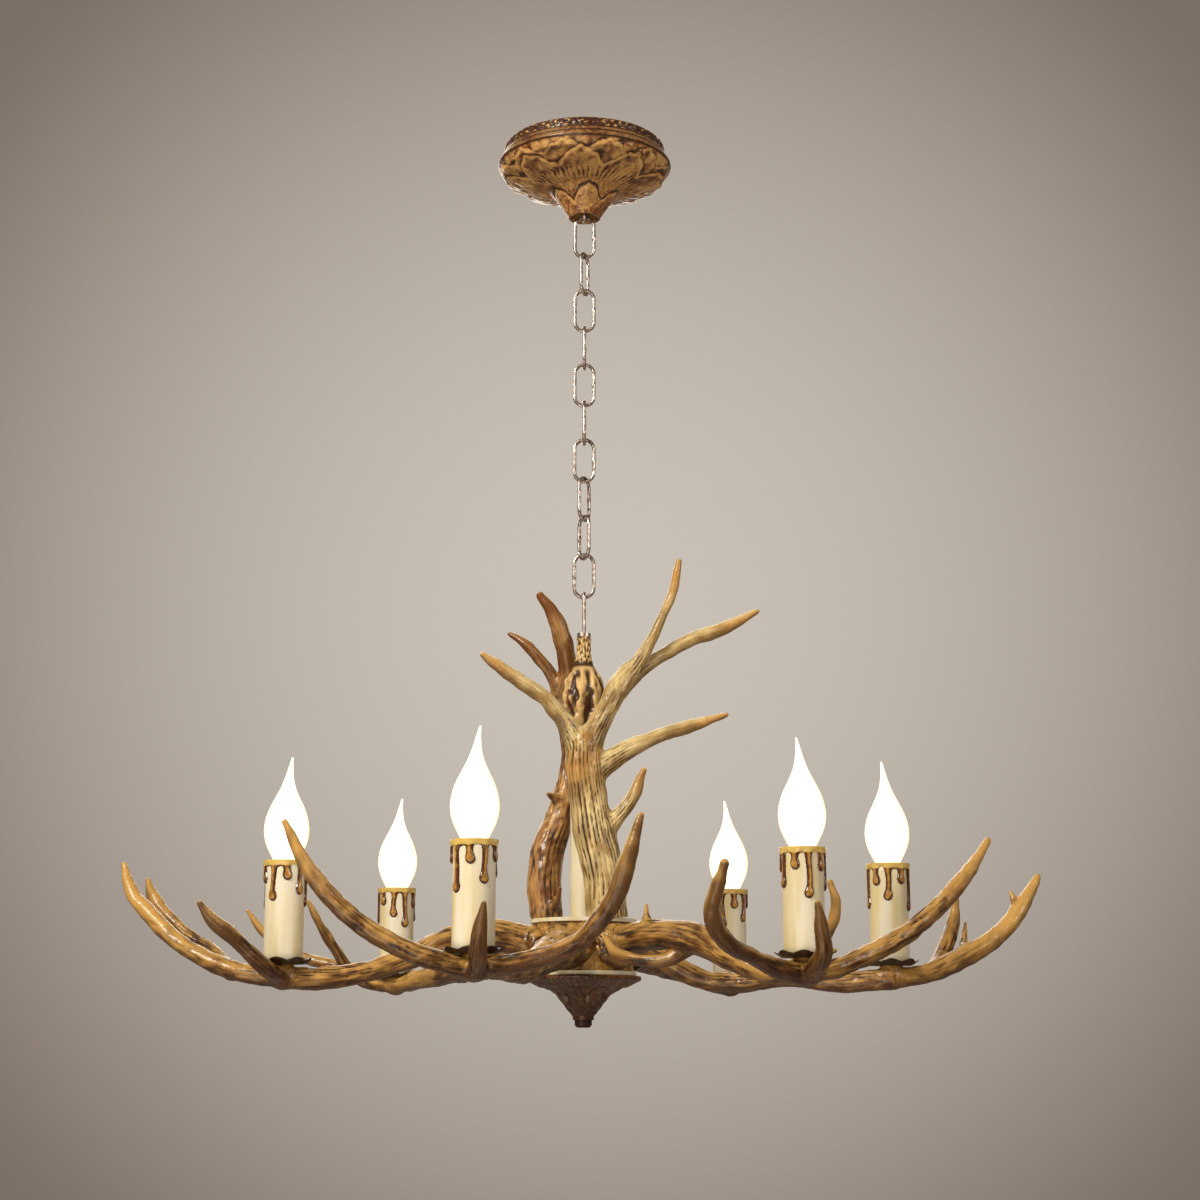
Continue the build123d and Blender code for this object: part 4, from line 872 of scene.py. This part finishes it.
def wax_skin(name, spot, bearing, radius, inner, drip_r, seed):
    """Wax over the rim of a candle sleeve. On the sleeve's unrolled side the wax is a band below the rim
    and a strip with a bead at its end for each drip; the distances to them are joined softly, which draws
    arches between the drips, and the wax's height is a half round of that distance. Where there is none
    the skin lies just inside the sleeve's wall."""
    rng = np.random.default_rng(seed)
    turn = np.linspace(0, TAU, 240, endpoint=False)[None, :]
    z = np.concatenate([np.linspace(0, WAX_LENGTH, 110), [WAX_LENGTH + 0.5]])[:, None]
    near = []
    for degrees, length in DRIPS:
        centre = math.radians(degrees + bearing) + 0.03 * np.sin(z / 5 + degrees)
        across = radius * ((turn - centre + math.pi) % TAU - math.pi)
        near.append(np.hypot(across, np.clip(z - length, 0, None)) - drip_r * (0.78 + 0.25 * bell(z, 2, 7)))
        near.append(np.hypot(across, z - length + 0.8) - drip_r * 1.15)
    near.append(z - WAX_BAND - 0.9 * np.sin(3 * turn + rng.uniform(0, 6))
                - 0.5 * np.sin(7 * turn + rng.uniform(0, 6)))
    near = np.stack(np.broadcast_arrays(*near))
    gap = -WAX_SOFT * np.log(np.exp(-np.clip(near, -20, 30) / WAX_SOFT).sum(0))
    depth = np.clip(-gap / (1.2 * drip_r), 0, 1)
    height = np.sqrt(1 - (1 - depth) ** 2) * drip_r * 0.75
    lip = LIP_THICK * np.sqrt(np.clip(1 - ((z - LIP_MIDDLE) / LIP_HALF) ** 2, 0, 1))
    lip = lip * (z < LIP_MIDDLE + LIP_HALF)
    out = radius + np.where(height > 0.02, 0.05 + np.maximum(height, lip), -0.35)
    top, wall = CANDLE_HIGH, radius - 0.6
    rows = [around(out, turn, top + 0.35 - z)]
    rows += [around(r, turn, level + 0 * turn) for r, level in (
        (wall, top - WAX_LENGTH - 0.5), (wall, top - 1.2), (inner - 0.1, top - 1.2),
        (inner - 0.15, top + 0.1), (inner + 0.25, top + 0.55), (wall, top + 0.62))]
    mesh = skin(name, np.concatenate(rows) + [*spot, 0])
    rest = np.zeros((len(rows) - 1, turn.shape[1]))
    outline = ease(1 - depth, 0.25, 0.85) * ease(z, WAX_BAND, 5.2) + 0.25 * bell(z, 5.4, 0.8)
    store(mesh, "groove", np.concatenate([outline, rest]).ravel())
    store(mesh, "rim", np.concatenate([(1 - ease(z, WAX_BAND, 5.4)) + 0 * turn, rest + 1]).ravel())
    return mesh


# height above the rim and radius of the flame bulb, and how far its tip leans
FLAME = ((-7.4, 6.0), (-5, 7.0), (-2, 8.3), (5, 11.9), (12, 15.3), (19, 17.3), (26, 17.8), (34, 16.6),
         (42, 13.9), (50, 10.0), (58, 6.2), (66, 3.6), (75, 1.8), (83, 0.6))
LEAN = ((40, 0), (52, 0.1), (64, 0.8), (75, 2.0), (83, 3.3))


def flame_skin(name, spot, side):
    """A flame-shaped bulb: circles whose radius follows a cubic through the profile, and whose centres
    bend to one side towards the tip."""
    line, _ = smooth_path([(h, 0, 0, r) for h, r in FLAME], 1.2)
    height, radius = line[:, 0], np.maximum(line[:, 3], 0.3)
    grid = around(radius[:, None], np.linspace(0, TAU, 64, endpoint=False), CANDLE_HIGH + height[:, None])
    grid[..., 0] += side * np.interp(height, *zip(*LEAN))[:, None]
    return skin(name, grid + [*spot, 0], capped=True)


PAN_HOLE, PETAL_ROOT, PETAL = 5.0, 20.6, 2.0    # radii of the hole and between petals, and a petal's length
FLAT_END, PAN_TOP = 16.6, 1.35                  # radius of the flat foot, and how high its top face lies


def pan_skin(name, spot):
    """A beaten dish: radius runs out to an edge of eight petals that come to soft points, and the height
    rises beyond the flat foot and curls at the points. Top and underside are the same surface a wall
    apart."""
    turn = np.linspace(0, TAU, 160, endpoint=False)[None, :]
    petal = np.abs(np.cos(4 * turn + 0.4))
    share = np.linspace(0, 1, 22)[:, None]
    r = PAN_HOLE + (PETAL_ROOT + PETAL * petal ** 0.8 - PAN_HOLE) * share
    rise = 2.9 * np.clip((r - FLAT_END) / 6.0, 0, None) ** 1.3
    curl = 0.7 * petal ** 3 * share ** 6
    ribs = 0.2 * np.cos(8 * turn + 0.8) * ease(share, 0.5, 1.0)
    top = SEAT + PAN_TOP + rise + curl + ribs
    wall = 1.3 - 0.5 * ease(share, 0.7, 1.0)
    under = around(r, turn, np.maximum(top - wall, SEAT + 0.02))
    mesh = skin(name, np.concatenate([around(r, turn, top), under[::-1]]) + [*spot, 0])
    # the underside is kept darker than the top as painted shade; the pans' finish is not carved and doesn't
    # read it
    store(mesh, "groove", np.repeat([0.3, 0.6], r.size))
    return mesh


# ---- materials

def feed(tree, node, inputs):
    """Set a node's inputs, by name or index: sockets are linked, numbers and colours are written."""
    for key, value in inputs.items():
        if isinstance(value, bpy.types.NodeSocket):
            tree.links.new(value, node.inputs[key])
        else:
            node.inputs[key].default_value = value


def add(tree, kind, inputs=None, stops=None, **settings):
    """Add a node with its settings, its inputs and, on a colour ramp, its stops."""
    made = tree.nodes.new(kind)
    for key, value in settings.items():
        setattr(made, key, value)
    feed(tree, made, inputs or {})
    if stops:
        ramp = made.color_ramp
        while len(ramp.elements) < len(stops):
            ramp.elements.new(0.5)
        for element, (position, colour) in zip(ramp.elements, stops):
            element.position = position
            element.color = (*colour, 1)
    return made


def new_material(name):
    """An empty material with its shader and output: the material, its tree, the shader."""
    material = bpy.data.materials.new(name)
    material.use_nodes = True
    tree = material.node_tree
    tree.nodes.clear()
    shader = add(tree, "ShaderNodeBsdfPrincipled")
    add(tree, "ShaderNodeOutputMaterial", {"Surface": shader.outputs[0]})
    return material, tree, shader


def own_place(tree):
    """Each point's place on its own object, in metres."""
    return add(tree, "ShaderNodeTexCoord").outputs["Object"]


def kept(tree, name, output="Fac"):
    """What store() has kept on the mesh under a name."""
    return add(tree, "ShaderNodeAttribute", attribute_name=name).outputs[output]


def noise(tree, where, scale, detail, roughness=0.5):
    """Fractal noise from 0 to 1. On places in metres a scale of 1000 has waves of about a millimetre."""
    return add(tree, "ShaderNodeTexNoise", {"Vector": where, "Scale": scale, "Detail": detail,
                                            "Roughness": roughness}).outputs["Fac"]


def combined(tree, operation, first, second=0.0):
    """Two values or sockets as one, by the name of a math operation; some take no second one."""
    return add(tree, "ShaderNodeMath", {0: first, 1: second}, operation=operation).outputs[0]


def mixed(tree, factor, first, second):
    """Blend two colours or sockets by a factor."""
    first, second = ((*side, 1) if isinstance(side, tuple) else side for side in (first, second))
    return add(tree, "ShaderNodeMix", {0: factor, 6: first, 7: second}, data_type="RGBA").outputs[2]


def spread(tree, value, low_in, high_in, low_out=0.0, high_out=1.0):
    """Map a value from one range to another."""
    return add(tree, "ShaderNodeMapRange", {"Value": value, "From Min": low_in, "From Max": high_in,
                                            "To Min": low_out, "To Max": high_out}).outputs[0]


def bump(tree, height, strength, distance):
    """A normal with small relief from a height socket; the distance is in millimetres."""
    return add(tree, "ShaderNodeBump", {"Height": height, "Strength": strength,
                                        "Distance": distance * MM}).outputs[0]


def colours(look, *names):
    """Some of a group's colour settings."""
    return [tuple(getattr(look, name)) for name in names]


def painted_cast(name, ridge, body, stain, tip=None, antler=True, tip_start=0.35):
    """Cast polyester resin, airbrushed and wiped: dark stain stays in the cracks, the ridges are rubbed
    pale, on an antler the upper side gets a painted highlight and the underside painted shade, and a satin
    lacquer catches small highlights. Streaks run along an antler at about 2.5 mm; blotches are 25 mm."""
    material, tree, shader = new_material(name)
    where = own_place(tree)
    along = kept(tree, "flow", "Vector") if antler else where
    scale = 0.42 if antler else 300.0
    streak = noise(tree, along, scale, 6.0, 0.66)
    fine = noise(tree, along, scale * 3.1, 3.0)
    blotch = noise(tree, where, 38.0, 3.0)
    groove = kept(tree, "groove")
    worn = combined(tree, "MULTIPLY", groove, spread(tree, fine, 0.25, 0.75, 0.8, 1.25))
    middle = tuple(0.45 * a + 0.55 * b for a, b in zip(ridge, body))
    dark = tuple(0.38 * a + 0.62 * b for a, b in zip(body, stain))
    tone = add(tree, "ShaderNodeValToRGB", {"Fac": streak},
               stops=[(0.32, dark), (0.44, body), (0.55, middle), (0.66, ridge)]).outputs[0]
    # each coat: what it follows, where it starts and is full, its share at most, and its colour
    coats = [(blotch, 0.44, 0.68, 0.6, ridge), (blotch, 0.48, 0.3, 0.6, dark)]
    if tip:
        coats.append((kept(tree, "tip"), tip_start, 0.9, 0.8, tip))
    coats.append((groove, 0.0, -0.6, 0.85, ridge))
    if antler:
        under = kept(tree, "under")
        # painted highlight: the ridge colour where an antler faces up; painted shade: the dark colour where
        # it faces down and on the shaded tines
        coats += [(under, 0.35, 0.0, 0.6, ridge), (under, 0.42, 0.92, 0.85, dark)]
    coats.append((worn, 0.06, 0.55, 0.95, stain))
    for value, start, full, most, colour in coats:
        tone = mixed(tree, spread(tree, value, start, full, 0.0, most), tone, colour)
    feed(tree, shader, {"Base Color": tone, "Roughness": spread(tree, fine, 0.3, 0.7, 0.26, 0.5),
                        "Specular IOR Level": 0.3, "Coat Weight": 0.35, "Coat Roughness": 0.14,
                        "Normal": bump(tree, streak, 0.4, 0.8)})
    return material


def ivory_plastic(name, ivory, shade):
    """Moulded ivory PVC tube: smooth, a little glossy, yellowed in soft upright bands about 13 mm wide."""
    material, tree, shader = new_material(name)
    where = own_place(tree)
    tall = add(tree, "ShaderNodeMapping", {"Vector": where, "Scale": (1, 1, 0.12)}).outputs[0]
    factor = spread(tree, noise(tree, tall, 75.0, 2.0), 0.42, 0.62, 0.0, 0.85)
    feed(tree, shader, {"Base Color": mixed(tree, factor, ivory, shade), "Roughness": 0.34,
                        "Subsurface Weight": 0.12, "Subsurface Radius": (0.004, 0.003, 0.002),
                        "Normal": bump(tree, noise(tree, where, 900.0, 2.0), 0.12, 0.2)})
    return material


def glazed_wax(name, wax, rim, shade):
    """Candle wax painted with golden lacquer: glossy, pale round the rim and outlined in brown where it
    ends."""
    material, tree, shader = new_material(name)
    cloud = noise(tree, own_place(tree), 260.0, 3.0)
    outline = spread(tree, combined(tree, "MULTIPLY", kept(tree, "groove"), cloud), 0.08, 0.4)
    body = mixed(tree, spread(tree, cloud, 0.4, 0.7, 0.0, 0.6), wax, shade)
    tone = mixed(tree, outline, mixed(tree, kept(tree, "rim"), body, rim), shade)
    feed(tree, shader, {"Base Color": tone, "Roughness": 0.2, "Coat Weight": 0.6,
                        "Normal": bump(tree, cloud, 0.25, 0.5)})
    return material


def aged_metal(name, bright, dark, rough, metallic=1.0, carved=False):
    """Plated or lacquered metal with tarnish in patches of about 3 mm, and in the hollows too where
    carved says that they are kept on the mesh."""
    material, tree, shader = new_material(name)
    patch = noise(tree, own_place(tree), 330.0, 4.0, 0.6)
    factor = spread(tree, patch, 0.42, 0.68, 0.0, 0.8)
    if carved:
        factor = combined(tree, "MAXIMUM", factor, kept(tree, "groove"))
    feed(tree, shader, {"Base Color": mixed(tree, factor, bright, dark), "Metallic": metallic,
                        "Roughness": spread(tree, patch, 0.3, 0.7, rough, rough + 0.2),
                        "Normal": bump(tree, patch, 0.3, 0.3)})
    return material


def lit_glass(name, glow, edge, brightness):
    """Frosted glass over a lit filament: white all over, and warm and less bright at the very outline."""
    material, tree, shader = new_material(name)
    facing = add(tree, "ShaderNodeLayerWeight", {"Blend": 0.5}).outputs["Facing"]
    feed(tree, shader, {"Emission Color": mixed(tree, spread(tree, facing, 0.3, 0.8), glow, edge),
                        "Emission Strength": spread(tree, facing, 0.35, 0.85, brightness, 0.97),
                        "Base Color": (*glow, 1), "Roughness": 0.3})
    return material


def white_porcelain_plastic(name, colour):
    """Matt white thermoset, as lamp holders and terminal blocks are: fine speckle of 1 mm."""
    material, tree, shader = new_material(name)
    factor = spread(tree, noise(tree, own_place(tree), 900.0, 2.0), 0.4, 0.7, 0.0, 0.2)
    feed(tree, shader, {"Base Color": mixed(tree, factor, colour, linear("#c8c4b8")), "Roughness": 0.55})
    return material


def dress(node, material):
    """Give a solid piece that stays visible its finish."""
    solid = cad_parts[node]
    if not solid.material_slots:
        solid.data.materials.append(material)
    for slot in solid.material_slots:
        slot.material = material


# ---- operators

class Maker(bpy.types.Operator):
    """Shared base: one kind of piece of the chandelier."""
    bl_options = {"REGISTER", "UNDO"}

    def execute(self, context):
        self.make(context.scene)
        return {"FINISHED"}


class CHANDELIER_OT_canopy(Maker):
    """Carve the ceiling canopy and finish the fixings inside it"""
    bl_idname = "chandelier.canopy"
    bl_label = "Canopy"

    def make(self, scene):
        look, metal = scene.chandelier_canopy, scene.chandelier_metal
        cast = painted_cast("cast resin, wiped gold over umber", *colours(look, "ridge", "body", "stain"),
                            antler=False)
        place("canopy_carved", carved_canopy(look), cast, "ceiling", "canopy_resin", "canopy")
        zinc = aged_metal("zinc-plated steel", *colours(metal, "zinc"), linear("#8b8b86"), 0.32)
        chain = aged_metal("antique bronze plate", *colours(metal, "chain", "chain_dark"), 0.26)
        white = white_porcelain_plastic("white thermoset", linear("#eeece4"))
        for finish, nodes in (
                (zinc, ("ceiling_bracket", "canopy_nipple", "canopy_lock_nut", "hub_bolts", "centre_rod",
                        "candle_nipples")),
                (chain, ("canopy_loop", "stem_loop")),
                (white, ("terminal_block", "wire_connectors", "lamp_holders"))):
            for node in nodes:
                dress(node, finish)


class CHANDELIER_OT_chain(Maker):
    """Bend the ten chain links"""
    bl_idname = "chandelier.chain"
    bl_label = "Chain"

    def make(self, scene):
        metal = scene.chandelier_metal
        bronze = aged_metal("antique bronze link wire", *colours(metal, "chain", "chain_dark"), 0.22,
                            carved=True)
        for number, turn in enumerate(LINK_TURNS, 1):
            node, name = f"chain_link_{number:02d}", f"link_wire_{number:02d}"
            mesh = link_skin(name, high(node)[2], turn, metal.wire / MM, number)
            place(name, mesh, bronze, f"link_{number:02d}", "chain_metal", node)


class CHANDELIER_OT_crown(Maker):
    """Turn the fluted crown and finish the tube below it"""
    bl_idname = "chandelier.crown"
    bl_label = "Crown and tube"

    def make(self, scene):
        look, antler, candle = scene.chandelier_canopy, scene.chandelier_antler, scene.chandelier_candle
        cast = painted_cast("cast resin, crown", *colours(look, "crown_ridge", "crown_body", "stain"),
                            antler=False)
        place("fluted_crown", fluted_crown(), cast, "chandelier", "antler_resin", "crown_cap")
        ivory = ivory_plastic("ivory tube", *colours(candle, "ivory"), linear("#d9c89a"))
        for node in ("centre_tube", "hub_top_plate", "hub_bottom_plate"):
            dress(node, ivory)
        dress("hub_drum", painted_cast("cast resin, hub drum",
                                       *colours(antler, "gold", "gold_body", "stain"), antler=False))


class CHANDELIER_OT_uprights(Maker):
    """Grow the two upright antlers"""
    bl_idname = "chandelier.uprights"
    bl_label = "Upright antlers"

    def make(self, scene):
        look = scene.chandelier_antler
        pale = painted_cast("cast resin antler, pale", *colours(look, "pale", "pale_body", "stain", "tip"))
        brown = painted_cast("cast resin antler, brown",
                             *colours(look, "brown", "brown_body", "stain", "brown_body"))
        for name, material, seed in (("front", pale, 21), ("rear", brown, 34)):
            place(f"upright_cast_{name}", upright_antler(name, look, seed), material, "chandelier",
                  "antler_resin", f"upright_antler_{name}")


class CHANDELIER_OT_spreading(Maker):
    """Grow the six spreading antlers"""
    bl_idname = "chandelier.spreading"
    bl_label = "Spreading antlers"

    def make(self, scene):
        look = scene.chandelier_antler
        gold = painted_cast("cast resin antler, golden",
                            *colours(look, "gold", "gold_body", "stain", "gold"), tip_start=0.2)
        for number, name in enumerate(PLACES):
            mesh = spreading_antler(name, look, 50 + 13 * number)
            place(f"spreading_cast_{name}", mesh, gold, "chandelier", "antler_resin", f"antler_{name}")


class CHANDELIER_OT_bowl(Maker):
    """Carve the bowl under the hub and finish its nut"""
    bl_idname = "chandelier.bowl"
    bl_label = "Hub bowl"

    def make(self, scene):
        look = scene.chandelier_canopy
        cast = painted_cast("cast resin, dark bowl", *colours(look, "bowl_ridge", "bowl_body", "stain"),
                            antler=False)
        place("carved_bowl", carved_bowl(look), cast, "chandelier", "hub_bronze", "hub_bowl")
        dress("finial_nut", aged_metal("dark lacquered brass", *colours(look, "bowl_body", "stain"), 0.4,
                                       metallic=0.4))


class CHANDELIER_OT_pans(Maker):
    """Beat the six drip pans"""
    bl_idname = "chandelier.pans"
    bl_label = "Drip pans"

    def make(self, scene):
        look = scene.chandelier_candle
        bronze = aged_metal("dark bronze lacquer", *colours(look, "pan"), linear("#1f150c"), 0.3,
                            metallic=0.6)
        meshes = [pan_skin("petal_pans", candle_spot(name)) for name in PLACES]
        place("petal_pans", together("petal_pans", meshes), bronze, "chandelier", "dark_bronze", "drip_pans")


class CHANDELIER_OT_candles(Maker):
    """Roll the candle sleeves, pour their wax and blow the flame bulbs"""
    bl_idname = "chandelier.candles"
    bl_label = "Candles and bulbs"

    def make(self, scene):
        look, metal = scene.chandelier_candle, scene.chandelier_metal
        ivory = ivory_plastic("ivory candle sleeve", *colours(look, "ivory"), linear("#dcc890"))
        wax = glazed_wax("gold-glazed wax", *colours(look, "wax", "wax_rim", "wax_dark"))
        glass = lit_glass("frosted bulb glass, lit", *colours(look, "glow", "glow_edge"), look.brightness)
        brass = aged_metal("brass bulb cap", *colours(metal, "brass"), linear("#8a6a30"), 0.25)
        radius = look.sleeve_radius / MM
        inner = radius - look.sleeve_wall / MM
        for number, name in enumerate(PLACES):
            spot, bearing = candle_spot(name), SPREADING[name][0]
            tube, drips, bulb = f"candle_tube_{name}", f"wax_drips_{name}", f"flame_bulb_{name}"
            place(tube, tube_skin(tube, spot, radius, inner), ivory, f"sleeve_{name}", "candle_wax",
                  f"candle_sleeve_{name}")
            mesh = wax_skin(drips, spot, bearing, radius, inner, look.drip_radius / MM, 70 + number)
            place(drips, mesh, wax, f"sleeve_{name}", "candle_wax")
            side = 1 if spot[0] < 0 else -1
            place(bulb, flame_skin(bulb, spot, side), glass, f"bulb_{name}", "bulb_glass",
                  f"bulb_glass_{name}")
            dress(f"bulb_cap_{name}", brass)


class CHANDELIER_OT_stage(Maker):
    """Set the camera, the lights, the floor and the background"""
    bl_idname = "chandelier.stage"
    bl_label = "Stage"

    def make(self, scene):
        look = scene.chandelier_stage
        camera = bpy.data.objects.new("camera", bpy.data.cameras.new("camera"))
        scene.collection.objects.link(camera)
        camera.location = (look.eye_across, -look.eye_distance, look.eye_height)
        camera.rotation_euler = (math.pi / 2 + look.eye_tilt, 0, 0)
        camera.data.lens = look.lens
        camera.data.clip_end = 100
        scene.camera = camera
        scene.view_settings.view_transform = "Standard"
        self.lamps(scene)
        self.floor(scene, look)
        self.background(scene, look)

    def lamps(self, scene):
        """Four soft lamps: a key from the upper left, weaker ones from the right and from below, one from
        behind."""
        for name, where, size, watts, tint in (
                ("key", (-1.4, -1.9, 0.9), 0.8, 64, (1.0, 0.94, 0.83)),
                ("fill", (1.9, -1.5, 0.2), 0.8, 14, (1.0, 0.92, 0.80)),
                ("low", (-0.5, -1.3, -1.2), 1.0, 7, (1.0, 0.90, 0.74)),
                ("back", (-0.5, 2.3, 0.7), 1.8, 26, (1.0, 0.94, 0.85))):
            lamp = bpy.data.lights.new(name, "AREA")
            lamp.size, lamp.energy, lamp.color = size, watts, tint
            stand = bpy.data.objects.new(name, lamp)
            scene.collection.objects.link(stand)
            stand.location = where
            aim = np.array([0, 0, -0.45]) - np.array(where)
            stand.rotation_euler = (math.acos(-aim[2] / np.linalg.norm(aim)), 0, math.atan2(-aim[0], aim[1]))

    def floor(self, scene, look):
        """A round pale floor two metres under the ceiling, that stays pale to the camera in the lamps'
        shade."""
        corners = 96
        turn = np.linspace(0, TAU, corners, endpoint=False)
        mesh = bpy.data.meshes.new("floor")
        mesh.from_pydata(around(9, turn, -2.0).tolist(), [], [list(range(corners))])
        material, tree, shader = new_material("pale floor paint")
        factor = spread(tree, noise(tree, own_place(tree), 1.5, 3.0), 0.0, 1.0, 0.0, 0.25)
        tone = mixed(tree, factor, *colours(look, "floor"), linear("#aaa095"))
        seen = add(tree, "ShaderNodeLightPath").outputs["Is Camera Ray"]
        feed(tree, shader, {"Base Color": tone, "Emission Color": tone, "Roughness": 0.7,
                            "Emission Strength": spread(tree, seen, 0.0, 1.0, 0.0, 0.62)})
        mesh.materials.append(material)
        plate = bpy.data.objects.new("floor", mesh)
        scene.collection.objects.link(plate)

    def background(self, scene, look):
        """The air round the lamp: seen directly it is a warm grey that is lightest straight behind the
        lamp and falls off with the angle from there; as light it is a plain soft white."""
        world = bpy.data.worlds.new("studio")
        world.use_nodes = True
        tree = world.node_tree
        tree.nodes.clear()
        way = add(tree, "ShaderNodeTexCoord").outputs["Generated"]
        behind = (0.0, 0.9796, 0.2011)          # from the camera to the lamp
        dot = add(tree, "ShaderNodeVectorMath", {0: way, 1: behind}, operation="DOT_PRODUCT")
        near = spread(tree, combined(tree, "ABSOLUTE", dot.outputs["Value"]), 0.9365, 1.0)
        wall = mixed(tree, combined(tree, "POWER", near, 1.3), *colours(look, "wall_edge", "wall"))
        seen = add(tree, "ShaderNodeBackground", {"Color": wall, "Strength": 1.0})
        soft = add(tree, "ShaderNodeBackground", {"Color": (1.0, 0.93, 0.84, 1), "Strength": 0.22})
        path = add(tree, "ShaderNodeLightPath").outputs
        clear = combined(tree, "MAXIMUM", path["Is Glossy Ray"], path["Is Transmission Ray"])
        shown = combined(tree, "MAXIMUM", path["Is Camera Ray"], clear)
        both = add(tree, "ShaderNodeMixShader", {0: shown, 1: soft.outputs[0], 2: seen.outputs[0]})
        add(tree, "ShaderNodeOutputWorld", {"Surface": both.outputs[0]})
        scene.world = world


class CHANDELIER_PT_panel(bpy.types.Panel):
    """Sizes, colours and makers of the chandelier"""
    bl_idname = "CHANDELIER_PT_panel"
    bl_label = "Antler chandelier"
    bl_space_type = "VIEW_3D"
    bl_region_type = "UI"
    bl_category = "Antler chandelier"

    def draw(self, context):
        for maker in MAKERS:
            self.layout.operator(maker.bl_idname)
        for key, group in GROUPS.items():
            box = self.layout.box()
            for prop in group.__annotations__:
                box.prop(getattr(context.scene, key), prop)


GROUPS = {
    "chandelier_antler": AntlerSettings,
    "chandelier_canopy": CanopySettings,
    "chandelier_candle": CandleSettings,
    "chandelier_metal": MetalSettings,
    "chandelier_stage": StageSettings,
}
MAKERS = (CHANDELIER_OT_canopy, CHANDELIER_OT_chain, CHANDELIER_OT_crown, CHANDELIER_OT_uprights,
          CHANDELIER_OT_spreading, CHANDELIER_OT_bowl, CHANDELIER_OT_pans, CHANDELIER_OT_candles,
          CHANDELIER_OT_stage)


def register():
    for group in GROUPS.values():
        bpy.utils.register_class(group)
    for maker in (*MAKERS, CHANDELIER_PT_panel):
        bpy.utils.register_class(maker)
    for key, group in GROUPS.items():
        setattr(bpy.types.Scene, key, bpy.props.PointerProperty(type=group))


def unregister():
    for key in GROUPS:
        delattr(bpy.types.Scene, key)
    for maker in (CHANDELIER_PT_panel, *reversed(MAKERS)):
        bpy.utils.unregister_class(maker)
    for group in reversed(list(GROUPS.values())):
        bpy.utils.unregister_class(group)


def main():
    register()
    for maker in MAKERS:
        name = maker.bl_idname.split(".")[1]
        getattr(bpy.ops.chandelier, name)()


if __name__ == "__main__":
    main()
